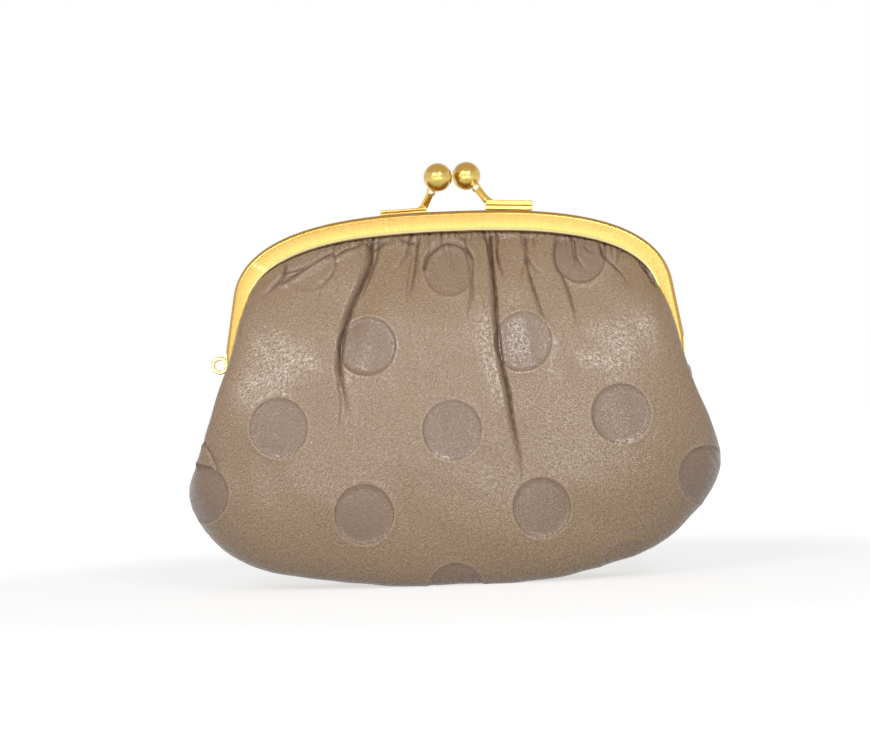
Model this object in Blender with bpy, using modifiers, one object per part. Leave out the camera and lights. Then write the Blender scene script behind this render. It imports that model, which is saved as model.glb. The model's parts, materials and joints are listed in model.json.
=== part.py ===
"""Kiss lock purse: a hinged two-half metal frame with a ball lock and a lined leather pouch.

Metres, +Z up. The origin is on the floor under the middle of the purse and the front faces -Y.
Each frame half is a bent sheet channel. Leather and lining sit in it, wedged by a paper cord.
The halves turn on two rivets along X: a plain one on the right, one with a strap eye on the left.
"""

import math

import bmesh
import bpy
from mathutils import Matrix, Vector
from mathutils.geometry import interpolate_bezier

# Frame arch, seen from the front: the outer outline of both halves
FRAME_HALF_WIDTH = 0.0592
HINGE_HEIGHT = 0.0585
ARCH_RISE = 0.0376
LEG_FOOT_DROP = 0.0010
LEG_STRAIGHT = 0.0035
LEG_HEIGHT = 0.0176
LEG_LEAN = 0.00245
SHOULDER_HANDLE_SHARE = 1.0
CROWN_HANDLE_SHARE = 0.32

# Frame channel: one half's cross section
SHEET = 0.0006
HALF_DEPTH = 0.0055
HALVES_GAP = 0.0003
CROWN_FACE_WIDTH = 0.0054
HINGE_FACE_WIDTH = 0.0015
FACE_TAPER_POWER = 2.4
FACE_BULGE = 0.00025
FRONT_BEND_RADIUS = 0.0010
MATING_BEND_RADIUS = 0.0008
MATING_WALL_SHARE = 0.8
LEAST_MATING_WALL = 0.0010

# Hinge ears and rivets
EAR_RADIUS = 0.0026
EAR_CLEARANCE = 0.0003
EAR_SET_IN = 0.00005
EAR_EDGE_MARGIN = 0.0007
EAR_ROOT_HEIGHT = 0.0030
INNER_EAR_HEIGHT = 0.0085
RIVET_RADIUS = 0.0008
RIVET_HOLE_RADIUS = 0.00105
RIVET_HEAD_RADIUS = 0.0017
RIVET_HEAD_HEIGHT = 0.00055
RIVET_HEAD_GAP = 0.00015

# Strap eye on the left rivet
EYE_RADIUS = 0.00235
EYE_HOLE_RADIUS = 0.0013
EYE_THICKNESS = 0.0015
EYE_EDGE_ROUND = 0.0003
EYE_ROOT_FLAT = 0.0019
EYE_COLLAR_RADIUS = 0.00115

# Ball lock
LOCK_OFFSET = 0.0009
BALL_RADIUS = 0.0037
BALL_PASSING_GAP = 0.00006
BALL_CROSSING = 0.0019
FRONT_BALL_RISE = 0.0093
REAR_BALL_RISE = 0.0090
FRONT_PLATE_START = 0.0083
REAR_PLATE_START = 0.0069
PLATE_LENGTH = 0.0121
PLATE_WIDTH = 0.0036
FRONT_PLATE_THICKNESS = 0.0011
REAR_PLATE_THICKNESS = 0.0006
PLATE_SEAT_GAP = 0.0001
FOOT_WIDTH = 0.0030
FRONT_FOOT_THICKNESS = 0.0013
REAR_FOOT_THICKNESS = 0.0007
LOCK_EDGE_ROUND = 0.00025
ARM_RADIUS = 0.0010
ARM_FOOT_OVERLAP = 0.0022
KNEE_INSET = 0.0005
KNEE_REACH = 0.0010
KNEE_HANDLE_SHARE = 0.6
COLLAR_RADIUS = 0.0013
COLLAR_LENGTH = 0.0016
COLLAR_BALL_GAP = 0.0002
SOCKET_DEPTH = 0.0013
SOCKET_CLEARANCE = 0.0001

# Pouch outline, seen from the front: the side and bottom seam
POUCH_OVERHANG = 0.0086
SEAM_TOP_DROP = 0.0052
SEAM_TOP_OVERHANG = 0.0010
BULGE_HEIGHT = 0.0274
BASE_HALF_LENGTH = 0.0200
SEAM_SIDE_LEAN = 0.236
SEAM_TOP_HANDLE_SHARE = 0.54
BULGE_UPPER_HANDLE_SHARE = 0.25
BULGE_LOWER_HANDLE_SHARE = 0.42
BASE_HANDLE_SHARE = 0.79

# Pouch depth, seen from the side
POUCH_HALF_DEPTH = 0.0205
BASE_HALF_DEPTH = 0.0110
SEAM_GAP = 0.0003
SWELL_POWER = 3.2
BELLY_SPREAD_POWER = 2.6
BASE_SPREAD_POWER = 4.0
MIDDLE_EDGE_POWER = 6.0
SIDE_EDGE_POWER = 3.0

# Main folds of the pouch panels: share across at the lip, share across lower down, share down at the end
FRONT_FOLD_SHARES = ((-0.26, -0.325, 0.66), (0.128, 0.173, 0.82))
REAR_FOLD_SHARES = ((-0.11, -0.085, 0.7), (0.21, 0.2, 0.72))
FOLD_DEPTH = 0.0022
FOLD_HALF_WIDTH = 0.0058
FOLD_START_SHARE = 0.08
FOLD_DRIFT_SHARE = 0.35
FOLD_FADE_POWER = 3
SLACK_SIDE_SHARES = (0.36, 0.46)

# Pouch material
LEATHER = 0.0010
LINING = 0.0004
LAYER_GAP = 0.0003
CHANNEL_GAP = 0.0003
LIP_CLEARANCE = 0.0005
HINGE_EDGE_DEPTH = 0.0013
PAPER_CORD_RADIUS = 0.00075
PAPER_CORD_STOP = 0.0096

# Facets
OUTLINE_STEPS = 48
STATION_LENGTH = 0.012
STATION_TURN = 0.12
BEND_STEPS = 3
FACE_STEPS = 3
POUCH_COLUMNS = 41
LINING_COLUMNS = 21
MIDDLE_SPACING_SHARE = 0.8
CORD_POINTS = 34
KNEE_POINTS = 5
ARM_POINTS = 12
ROUND_SIDES = 24
BALL_RINGS = 12
RIVET_SIDES = 16
CUT_OVERRUN = 0.0005
WELD_DISTANCE = 0.000005

# Rows of the pouch panels: inside the channel, down the drape, and under the base
CHANNEL_ROW_SHARES = (0.0, 0.55, 1.0)
DRAPE_ROW_SHARES = (0.05, 0.14, 0.27, 0.43, 0.6, 0.76, 0.89, 0.965, 1.0)
BASE_ROW_SHARES = (0.5, 0.0)

# Derived places
MATING_FACE = HALVES_GAP / 2
FRONT_FACE = MATING_FACE + HALF_DEPTH
SEAM_FACE = SEAM_GAP / 2
POUCH_HALF_WIDTH = FRAME_HALF_WIDTH + POUCH_OVERHANG
LEATHER_Y = FRONT_FACE - FACE_BULGE - SHEET - CHANNEL_GAP
PAPER_CORD_Y = MATING_FACE + SHEET + CHANNEL_GAP + PAPER_CORD_RADIUS
OUTER_EAR_FACE = FRAME_HALF_WIDTH - EAR_SET_IN
OUTER_EAR_BACK = OUTER_EAR_FACE - SHEET
INNER_EAR_FACE = OUTER_EAR_BACK - EAR_CLEARANCE
INNER_EAR_BACK = INNER_EAR_FACE - SHEET
EAR_SWEEP_RADIUS = EAR_RADIUS + EAR_CLEARANCE
CROWN_HEIGHT = HINGE_HEIGHT + ARCH_RISE

GOLD = ((0.83, 0.60, 0.20), 0.32, 1.0)
PALE_GOLD = ((0.90, 0.74, 0.42), 0.28, 1.0)
TAUPE_LEATHER = ((0.33, 0.25, 0.18), 0.62, 0.0)
LINING_CLOTH = ((0.42, 0.34, 0.26), 0.85, 0.0)
KRAFT_PAPER = ((0.55, 0.42, 0.27), 0.9, 0.0)

for old in list(bpy.data.objects):
    bpy.data.objects.remove(old, do_unlink=True)

purse = bpy.data.collections.new("kiss_lock_purse")
cutters = bpy.data.collections.new("cutters")
bpy.context.scene.collection.children.link(purse)
bpy.context.scene.collection.children.link(cutters)


def material(name, look):
    """A Principled material from a (colour, roughness, metallic) look."""
    colour, roughness, metallic = look
    made = bpy.data.materials.new(name)
    made.use_nodes = True
    shader = made.node_tree.nodes["Principled BSDF"]
    shader.inputs["Base Color"].default_value = (*colour, 1.0)
    shader.inputs["Roughness"].default_value = roughness
    shader.inputs["Metallic"].default_value = metallic
    made.diffuse_color = (*colour, 1.0)
    return made


def place(obj, collection, look=None):
    """Moves an object into one collection and gives it its own material."""
    for home in list(obj.users_collection):
        home.objects.unlink(obj)
    collection.objects.link(obj)
    if collection == cutters:
        obj.hide_render = True
        obj.display_type = "WIRE"
    if look:
        obj.data.materials.clear()
        obj.data.materials.append(material(obj.name, look))
    return obj


def from_points(name, points, faces):
    """A mesh object from a list of points and faces."""
    mesh = bpy.data.meshes.new(name)
    mesh.from_pydata([tuple(point) for point in points], [], faces)
    mesh.update()
    obj = bpy.data.objects.new(name, mesh)
    bpy.context.scene.collection.objects.link(obj)
    return obj


def as_mesh(obj, name):
    """Turns a curve object into a welded mesh object in the same place."""
    graph = bpy.context.evaluated_depsgraph_get()
    mesh = bpy.data.meshes.new_from_object(obj.evaluated_get(graph))
    mesh.name = name
    shape = bmesh.new()
    shape.from_mesh(mesh)
    bmesh.ops.remove_doubles(shape, verts=shape.verts, dist=WELD_DISTANCE)
    bmesh.ops.recalc_face_normals(shape, faces=shape.faces)
    shape.to_mesh(mesh)
    shape.free()
    made = bpy.data.objects.new(name, mesh)
    made.matrix_world = obj.matrix_world.copy()
    bpy.context.scene.collection.objects.link(made)
    bpy.data.objects.remove(obj, do_unlink=True)
    return made


def flat_outline(name, outlines, thickness):
    """A plate from closed outlines in its own XY plane, as a filled and extruded 2D curve."""
    curve = bpy.data.curves.new(name, "CURVE")
    curve.dimensions = "2D"
    curve.fill_mode = "BOTH"
    curve.extrude = thickness / 2
    for outline in outlines:
        spline = curve.splines.new("POLY")
        spline.points.add(len(outline) - 1)
        for point, (x, y) in zip(spline.points, outline):
            point.co = (x, y, 0.0, 1.0)
        spline.use_cyclic_u = True
    obj = bpy.data.objects.new(name + "_outline", curve)
    bpy.context.scene.collection.objects.link(obj)
    return as_mesh(obj, name)


def tube(name, points, radius, radii=None, bevel_resolution=2):
    """A round tube along points, as a bevelled curve with filled caps."""
    curve = bpy.data.curves.new(name, "CURVE")
    curve.dimensions = "3D"
    curve.bevel_depth = radius
    curve.bevel_resolution = bevel_resolution
    curve.use_fill_caps = True
    spline = curve.splines.new("POLY")
    spline.points.add(len(points) - 1)
    for index, point in enumerate(points):
        spline.points[index].co = (*point, 1.0)
        spline.points[index].radius = radii[index] if radii else 1.0
    obj = bpy.data.objects.new(name + "_path", curve)
    bpy.context.scene.collection.objects.link(obj)
    return as_mesh(obj, name)


def rod(name, radius, start, end):
    """A cylinder between two points."""
    start = Vector(start)
    end = Vector(end)
    bpy.ops.mesh.primitive_cylinder_add(
        vertices=ROUND_SIDES, radius=radius, depth=(end - start).length
    )
    obj = bpy.context.object
    obj.name = name
    turn = (end - start).to_track_quat("Z", "Y").to_matrix().to_4x4()
    obj.matrix_world = Matrix.Translation((start + end) / 2) @ turn
    return obj


def slab(name, size, edge_round):
    """A block with rounded edges, its size applied to its mesh."""
    bpy.ops.mesh.primitive_cube_add(size=1.0)
    obj = bpy.context.object
    obj.name = name
    obj.data.transform(Matrix.Diagonal((*size, 1.0)))
    bevel = obj.modifiers.new("rounded edges", "BEVEL")
    bevel.width = edge_round
    bevel.segments = 2
    return obj


def joined(name, objects):
    """Several meshes as one, in world space, for use as one cutter."""
    shape = bmesh.new()
    for obj in objects:
        part = obj.data.copy()
        part.transform(obj.matrix_world)
        shape.from_mesh(part)
        bpy.data.objects.remove(obj, do_unlink=True)
    mesh = bpy.data.meshes.new(name)
    shape.to_mesh(mesh)
    shape.free()
    made = bpy.data.objects.new(name, mesh)
    bpy.context.scene.collection.objects.link(made)
    return place(made, cutters)


def boolean(obj, operation, other):
    """An exact Boolean of obj with another object."""
    step = obj.modifiers.new(other.name, "BOOLEAN")
    step.operation = operation
    step.solver = "EXACT"
    step.object = other
    if other.name not in cutters.objects:
        place(other, cutters)


def smooth(obj, angle=math.radians(40)):
    """Smooth shading, with edges sharper than the angle kept."""
    obj.data.shade_smooth()
    obj.data.set_sharp_from_angle(angle=angle)
    return obj


class Outline:
    """A mirrored outline in the XZ plane, from its middle at x = 0 to its right end."""

    def __init__(self, points, turn):
        self.points = [Vector((x, z)) for x, z in points]
        self.turn = turn
        self.lengths = [0.0]
        for here, there in zip(self.points, self.points[1:]):
            self.lengths.append(self.lengths[-1] + (there - here).length)

    def at(self, u):
        """The point and the inward direction at a share u of the length, -1 left to 1 right."""
        target = min(abs(u), 1.0) * self.lengths[-1]
        index = 1
        while index < len(self.points) - 1 and self.lengths[index] < target:
            index += 1
        here = self.points[index - 1]
        there = self.points[index]
        share = (target - self.lengths[index - 1]) / (there - here).length
        before = self.tangent(index - 1)
        after = self.tangent(index)
        point = here.lerp(there, share)
        along = before.lerp(after, share).normalized()
        inward = Vector((-along.y, along.x)) * self.turn
        if u < 0:
            point.x = -point.x
            inward.x = -inward.x
        return point, inward

    def tangent(self, index):
        """The direction of the outline at one of its points, level at the middle."""
        if index == 0:
            return Vector((1.0, 0.0))
        last = min(index + 1, len(self.points) - 1)
        return (self.points[last] - self.points[index - 1]).normalized()


def bezier(start, start_handle, end_handle, end):
    """Points on a cubic curve in the XZ plane, as (x, z) pairs, without the first."""
    knots = [Vector((x, 0.0, z)) for x, z in (start, start_handle, end_handle, end)]
    return [(point.x, point.z) for point in interpolate_bezier(*knots, OUTLINE_STEPS)[1:]]


def arch_outline():
    """The outer outline of the frame: crown, shoulder, leaning leg and straight foot."""
    leg_top = Vector((FRAME_HALF_WIDTH - LEG_LEAN, HINGE_HEIGHT + LEG_HEIGHT))
    leg_knee = Vector((FRAME_HALF_WIDTH, HINGE_HEIGHT + LEG_STRAIGHT))
    lean = (leg_top - leg_knee).normalized()
    shoulder = leg_top + lean * (ARCH_RISE - LEG_HEIGHT) * SHOULDER_HANDLE_SHARE
    crown = (0.0, CROWN_HEIGHT)
    crown_handle = (leg_top.x * CROWN_HANDLE_SHARE, CROWN_HEIGHT)
    points = [crown] + bezier(crown, crown_handle, shoulder, leg_top)
    points.append(tuple(leg_knee))
    points.append((FRAME_HALF_WIDTH, HINGE_HEIGHT - LEG_FOOT_DROP))
    return Outline(points, -1.0)


def seam_outline():
    """The outline of the side and bottom seam, from the flat base up to below the hinge."""
    base_end = (BASE_HALF_LENGTH, 0.0)
    bulge = (POUCH_HALF_WIDTH, BULGE_HEIGHT)
    top = (FRAME_HALF_WIDTH + SEAM_TOP_OVERHANG, HINGE_HEIGHT - SEAM_TOP_DROP)
    reach = (POUCH_HALF_WIDTH - BASE_HALF_LENGTH) * BASE_HANDLE_SHARE
    side = top[1] - BULGE_HEIGHT
    top_handle = side * SEAM_TOP_HANDLE_SHARE
    points = [(0.0, 0.0), base_end]
    points += bezier(
        base_end,
        (BASE_HALF_LENGTH + reach, 0.0),
        (POUCH_HALF_WIDTH, BULGE_HEIGHT * (1 - BULGE_LOWER_HANDLE_SHARE)),
        bulge,
    )
    points += bezier(
        bulge,
        (POUCH_HALF_WIDTH, BULGE_HEIGHT + side * BULGE_UPPER_HANDLE_SHARE),
        (top[0] + math.sin(SEAM_SIDE_LEAN) * top_handle, top[1] - math.cos(SEAM_SIDE_LEAN) * top_handle),
        top,
    )
    return Outline(points, 1.0)


ARCH = arch_outline()
SEAM = seam_outline()


def face_width(height):
    """The width of the frame's face at a height: widest at the crown, least at the hinge."""
    above = max(height - HINGE_HEIGHT, 0.0) / ARCH_RISE
    growth = 1.0 - max(1.0 - above, 0.0) ** FACE_TAPER_POWER
    return HINGE_FACE_WIDTH + (CROWN_FACE_WIDTH - HINGE_FACE_WIDTH) * growth


def arch_stations():
    """Shares along the arch, closer together where it turns."""
    samples = [step / OUTLINE_STEPS for step in range(OUTLINE_STEPS + 1)]
    weights = [0.0]
    for here, there in zip(samples, samples[1:]):
        turned = ARCH.at(here)[1].angle(ARCH.at(there)[1])
        length = ARCH.lengths[-1] / OUTLINE_STEPS
        weights.append(weights[-1] + length / STATION_LENGTH + turned / STATION_TURN)
    count = round(weights[-1])
    half = [0.0]
    for step in range(1, count):
        target = weights[-1] * step / count
        index = next(i for i, weight in enumerate(weights) if weight >= target)
        share = (target - weights[index - 1]) / (weights[index] - weights[index - 1])
        half.append((index - 1 + share) / OUTLINE_STEPS)
    half.append(1.0)
    return [-u for u in reversed(half[1:])] + half


def bend(centre_depth, centre_y, radius, start_angle, end_angle):
    """Points round a sheet bend, as (depth, y) pairs."""
    points = []
    for step in range(BEND_STEPS + 1):
        angle = start_angle + (end_angle - start_angle) * step / BEND_STEPS
        points.append((centre_depth - radius * math.cos(angle), centre_y + radius * math.sin(angle)))
    return points


def channel_section(width):
    """One half's outer skin as (depth, distance from the middle plane) pairs, face to mating wall."""
    bulge = FACE_BULGE * width / CROWN_FACE_WIDTH
    face_y = FRONT_FACE - FACE_BULGE
    points = []
    for step in range(FACE_STEPS):
        share = step / FACE_STEPS
        depth = width + (FRONT_BEND_RADIUS - width) * share
        points.append((depth, face_y + bulge * 4 * share * (1 - share)))
    quarter = math.pi / 2
    points += bend(FRONT_BEND_RADIUS, face_y - FRONT_BEND_RADIUS, FRONT_BEND_RADIUS, quarter, 0.0)
    mating_y = MATING_FACE + MATING_BEND_RADIUS
    points += bend(MATING_BEND_RADIUS, mating_y, MATING_BEND_RADIUS, 0.0, -quarter)
    points.append((max(width * MATING_WALL_SHARE, LEAST_MATING_WALL), MATING_FACE))
    return points


def frame_half(name, side):
    """One frame half. side is -1 for the front half, 1 for the rear half."""
    stations = arch_stations()
    points = []
    for u in stations:
        point, inward = ARCH.at(u)
        for depth, y in channel_section(face_width(point.y)):
            points.append((point.x + inward.x * depth, side * y, point.y + inward.y * depth))
    row = len(points) // len(stations)
    faces = []
    for station in range(len(stations) - 1):
        for column in range(row - 1):
            corner = station * row + column
            face = (corner, corner + 1, corner + row + 1, corner + row)
            faces.append(face if side > 0 else face[::-1])
    half = from_points(name, points, faces)
    sheet = half.modifiers.new("sheet", "SOLIDIFY")
    sheet.thickness = SHEET
    sheet.offset = -1.0
    sheet.use_even_offset = True
    if side < 0:
        ear_face = OUTER_EAR_FACE
        swept = (INNER_EAR_BACK - EAR_CLEARANCE, OUTER_EAR_BACK - EAR_SET_IN)
    else:
        ear_face = INNER_EAR_FACE
        swept = (INNER_EAR_FACE + EAR_SET_IN, OUTER_EAR_FACE + RIVET_HEAD_HEIGHT)
    ears = []
    sweeps = []
    holes = []
    for x_sign in (-1, 1):
        ears.append(ear(side, x_sign, ear_face))
        sweeps.append(rod("sweep", EAR_SWEEP_RADIUS, on_axis(x_sign * swept[0]), on_axis(x_sign * swept[1])))
        hole_start = x_sign * (INNER_EAR_BACK - CUT_OVERRUN)
        hole_end = x_sign * (OUTER_EAR_FACE + CUT_OVERRUN)
        holes.append(rod("hole", RIVET_HOLE_RADIUS, on_axis(hole_start), on_axis(hole_end)))
    boolean(half, "DIFFERENCE", joined(name + "_ear_sweep", sweeps))
    boolean(half, "UNION", joined(name + "_ears", ears))
    boolean(half, "DIFFERENCE", joined(name + "_rivet_holes", holes))
    smooth(half)
    return place(half, purse, GOLD)


def on_axis(x):
    """A point on the hinge axis."""
    return (x, 0.0, HINGE_HEIGHT)


def ear(side, x_sign, outer_face):
    """A flat hinge ear in the YZ plane: a round eye on the axis that runs up into the leg's rim."""
    if side < 0:
        far_edge = FRONT_FACE - EAR_EDGE_MARGIN
        root = EAR_ROOT_HEIGHT
    else:
        far_edge = EAR_RADIUS
        root = INNER_EAR_HEIGHT
    near_edge = MATING_FACE + EAR_SET_IN
    foot = -LEG_FOOT_DROP + EAR_SET_IN
    first = math.pi + math.asin(-foot / EAR_RADIUS) if side < 0 else math.pi
    last = 2 * math.pi + math.acos(-near_edge / EAR_RADIUS)
    outline = []
    for step in range(ROUND_SIDES + 1):
        angle = first + (last - first) * step / ROUND_SIDES
        outline.append((EAR_RADIUS * math.cos(angle), EAR_RADIUS * math.sin(angle)))
    outline.append((-near_edge, root))
    outline.append((-far_edge, root))
    if side < 0:
        outline.append((-far_edge, foot))
    outline = [(-side * y, z) for y, z in outline]
    plate = flat_outline("ear", [outline], SHEET)
    middle = x_sign * (outer_face - SHEET / 2)
    turn = Matrix(((0, 0, 1, 0), (1, 0, 0, 0), (0, 1, 0, 0), (0, 0, 0, 1)))
    plate.matrix_world = Matrix.Translation(on_axis(middle)) @ turn
    return plate


def arm_path(start, knee, tip):
    """Points along a lock arm: from its foot, round its knee and straight up to its ball."""
    before = knee + (start - knee).normalized() * KNEE_REACH
    after = knee + (tip - knee).normalized() * KNEE_REACH
    before_handle = before.lerp(knee, KNEE_HANDLE_SHARE)
    after_handle = after.lerp(knee, KNEE_HANDLE_SHARE)
    points = [start] + interpolate_bezier(before, before_handle, after_handle, after, KNEE_POINTS)
    for step in range(1, ARM_POINTS + 1):
        points.append(after.lerp(tip, step / ARM_POINTS))
    return points


def knob(half, side, x_sign, ball_rise, plate_start, plate_thickness, foot_thickness):
    """A half's lock piece: a plate on the rim, an arm on the plate and a ball that crosses over."""
    plate_y = side * (MATING_FACE + HALF_DEPTH / 2)
    inner_x = LOCK_OFFSET + x_sign * plate_start
    outer_x = inner_x + x_sign * PLATE_LENGTH
    inner_z = arch_height(inner_x)
    outer_z = arch_height(outer_x)
    middle = Vector(((inner_x + outer_x) / 2, plate_y, (inner_z + outer_z) / 2))
    crest = max(arch_height(middle.x) - middle.z, 0.0)
    slope = math.atan((outer_z - inner_z) / (outer_x - inner_x))
    turn = Matrix.Rotation(-slope, 4, "Y")
    up = turn.to_3x3() @ Vector((0.0, 0.0, 1.0))
    plate = slab(half + "_knob_plate", (PLATE_LENGTH, PLATE_WIDTH, plate_thickness), LOCK_EDGE_ROUND)
    plate_lift = crest + PLATE_SEAT_GAP + plate_thickness / 2
    plate.matrix_world = Matrix.Translation(middle + up * plate_lift) @ turn
    place(smooth(plate), purse, GOLD)

    foot_base = plate_lift + plate_thickness / 2 + PLATE_SEAT_GAP
    foot_lift = foot_base + foot_thickness / 2
    arm = slab(half + "_knob_arm", (PLATE_LENGTH, FOOT_WIDTH, foot_thickness), LOCK_EDGE_ROUND)
    arm.matrix_world = Matrix.Translation(middle + up * foot_lift) @ turn

    ball_x = LOCK_OFFSET + x_sign * (BALL_RADIUS + BALL_PASSING_GAP / 2)
    centre = Vector((ball_x, -side * BALL_CROSSING, CROWN_HEIGHT + ball_rise))
    to_middle = turn.to_3x3() @ Vector((-x_sign, 0.0, 0.0))
    start = middle + up * foot_lift + to_middle * (PLATE_LENGTH / 2 - ARM_FOOT_OVERLAP)
    knee = middle + up * (foot_base + ARM_RADIUS) + to_middle * (PLATE_LENGTH / 2 - KNEE_INSET)
    heading = (centre - knee).normalized()
    tip = centre - heading * (BALL_RADIUS - SOCKET_DEPTH)
    path = arm_path(start, knee, tip)
    flat_share = foot_thickness / 2 / ARM_RADIUS
    collar_top = BALL_RADIUS + COLLAR_BALL_GAP
    radii = []
    for point in path:
        rounded = min((point - start).length / (knee - start).length, 1.0)
        reach = ((centre - point).length - collar_top) / COLLAR_LENGTH
        swell = math.sin(math.pi * reach) if 0.0 < reach < 1.0 else 0.0
        radii.append(flat_share + (1.0 - flat_share) * rounded + (COLLAR_RADIUS / ARM_RADIUS - 1.0) * swell)
    boolean(arm, "UNION", tube(half + "_arm_rod", path, ARM_RADIUS, radii))
    place(smooth(arm), purse, GOLD)

    bpy.ops.mesh.primitive_uv_sphere_add(segments=ROUND_SIDES, ring_count=BALL_RINGS, radius=BALL_RADIUS)
    ball = bpy.context.object
    ball.name = half + "_knob_ball"
    ball.location = centre
    socket_end = tip + heading * SOCKET_CLEARANCE
    mouth = centre - heading * (BALL_RADIUS + CUT_OVERRUN)
    boolean(ball, "DIFFERENCE", rod(half + "_ball_socket", ARM_RADIUS + SOCKET_CLEARANCE, mouth, socket_end))
    place(smooth(ball), purse, GOLD)


def arch_height(x):
    """The height of the frame's outer outline at a place across the crown."""
    for here, there in zip(ARCH.points, ARCH.points[1:]):
        if here.x <= abs(x) <= there.x:
            share = (abs(x) - here.x) / (there.x - here.x)
            return here.y + (there.y - here.y) * share
    return CROWN_HEIGHT


def turned(name, profile, x_sign):
    """A solid turned about the hinge axis from (radius, place along X) pairs, outer end first."""
    points = [(radius, 0.0, along) for radius, along in profile]
    edges = [(index, index + 1) for index in range(len(points) - 1)]
    mesh = bpy.data.meshes.new(name)
    mesh.from_pydata(points, edges, [])
    obj = bpy.data.objects.new(name, mesh)
    bpy.context.scene.collection.objects.link(obj)
    obj.rotation_euler = (0.0, x_sign * math.pi / 2, 0.0)
    obj.location = on_axis(0.0)
    screw = obj.modifiers.new("turned", "SCREW")
    screw.axis = "Z"
    screw.steps = RIVET_SIDES
    screw.render_steps = RIVET_SIDES
    screw.use_merge_vertices = True
    screw.merge_threshold = WELD_DISTANCE
    screw.use_smooth_shade = False
    return obj


def dome(base, radius, height):
    """The profile of a low domed head on a base, from its top to its rim."""
    points = []
    for step in range(BEND_STEPS + 1):
        angle = math.pi / 2 * step / (BEND_STEPS + 1)
        points.append((radius * math.sin(angle), base + height * math.cos(angle)))
    points.append((radius, base))
    return points


def inner_head():
    """The profile of the peened head inside the inner ear, from its rim to its middle."""
    base = INNER_EAR_BACK - RIVET_HEAD_GAP
    points = []
    for radius, along in dome(0.0, RIVET_HEAD_RADIUS, RIVET_HEAD_HEIGHT):
        points.append((radius, base - along))
    return points[::-1]


def hinge_rivet():
    """The plain right rivet: low domed head, shank through both ears, peened head inside."""
    head_base = OUTER_EAR_FACE + RIVET_HEAD_GAP
    profile = dome(head_base, RIVET_HEAD_RADIUS, RIVET_HEAD_HEIGHT)
    profile.append((RIVET_RADIUS, head_base))
    profile.append((RIVET_RADIUS, INNER_EAR_BACK - RIVET_HEAD_GAP))
    profile += inner_head()
    rivet = turned("right_hinge_rivet", profile, 1)
    return place(rivet, purse, PALE_GOLD)


def eye_rivet():
    """The left rivet, whose outer end is a flat round eye for a wrist strap."""
    collar_base = OUTER_EAR_FACE + RIVET_HEAD_GAP
    eye_x = collar_base + EYE_ROOT_FLAT
    collar_top = eye_x - EYE_HOLE_RADIUS - EYE_EDGE_ROUND
    profile = [(0.0, collar_top), (EYE_COLLAR_RADIUS, collar_top), (EYE_COLLAR_RADIUS, collar_base)]
    profile.append((RIVET_RADIUS, collar_base))
    profile.append((RIVET_RADIUS, INNER_EAR_BACK - RIVET_HEAD_GAP))
    profile += inner_head()
    rivet = turned("left_hinge_eye_rivet", profile, -1)

    flat = math.acos(EYE_ROOT_FLAT / EYE_RADIUS)
    outer = []
    inner = []
    for step in range(ROUND_SIDES + 1):
        angle = flat + (2 * math.pi - 2 * flat) * step / ROUND_SIDES
        outer.append((EYE_RADIUS * math.cos(angle), EYE_RADIUS * math.sin(angle)))
    for step in range(ROUND_SIDES):
        angle = 2 * math.pi * step / ROUND_SIDES
        inner.append((EYE_HOLE_RADIUS * math.cos(angle), EYE_HOLE_RADIUS * math.sin(angle)))
    eye = flat_outline("strap_eye", [outer, inner], EYE_THICKNESS)
    eye.matrix_world = Matrix.Translation(on_axis(-eye_x)) @ Matrix.Rotation(math.pi / 2, 4, "X")
    edge = eye.modifiers.new("rounded edges", "BEVEL")
    edge.width = EYE_EDGE_ROUND
    edge.segments = 1
    edge.limit_method = "ANGLE"
    boolean(rivet, "UNION", eye)
    return place(rivet, purse, PALE_GOLD)


def belly(u):
    """How far a column of the pouch stands out, from the middle of the purse to its side."""
    spread = 1.0 - abs(u) ** BELLY_SPREAD_POWER
    return LEATHER_Y + (POUCH_HALF_DEPTH - LEATHER_Y) * spread


def base_depth(u):
    """The half depth of the flat base under a column."""
    point, _ = SEAM.at(u)
    middle = max(1.0 - (abs(point.x) / POUCH_HALF_WIDTH) ** BASE_SPREAD_POWER, 0.0)
    spread = max(1.0 - abs(u) ** BELLY_SPREAD_POWER, 0.0)
    return SEAM_FACE + (BASE_HALF_DEPTH - SEAM_FACE) * middle * spread


def fold_reach(share, end):
    """How much of a fold shows at a share of the way down, where the fold ends at a share."""
    start = min(share / FOLD_START_SHARE, 1.0)
    return start * max(1.0 - (share / end) ** FOLD_FADE_POWER, 0.0)


def folded_in(u, share, folds):
    """How deep the main folds press the leather in at a place."""
    drift = min(share / FOLD_DRIFT_SHARE, 1.0)
    depth = 0.0
    for lip_u, low_u, end in folds:
        away = abs(u - lip_u - (low_u - lip_u) * drift) * ARCH.lengths[-1] / FOLD_HALF_WIDTH
        if away < 1.0:
            round_valley = (1.0 + math.cos(math.pi * away)) / 2
            depth = max(depth, FOLD_DEPTH * round_valley * fold_reach(share, end))
    return depth


def hung_loose(u, share, folds):
    """How far the lining hangs in at a place, clear of the leather's main folds."""
    first, last = SLACK_SIDE_SHARES
    middle = min(max((last - abs(u)) / (last - first), 0.0), 1.0)
    return FOLD_DEPTH * middle * max(fold_reach(share, end) for _, _, end in folds)


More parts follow.
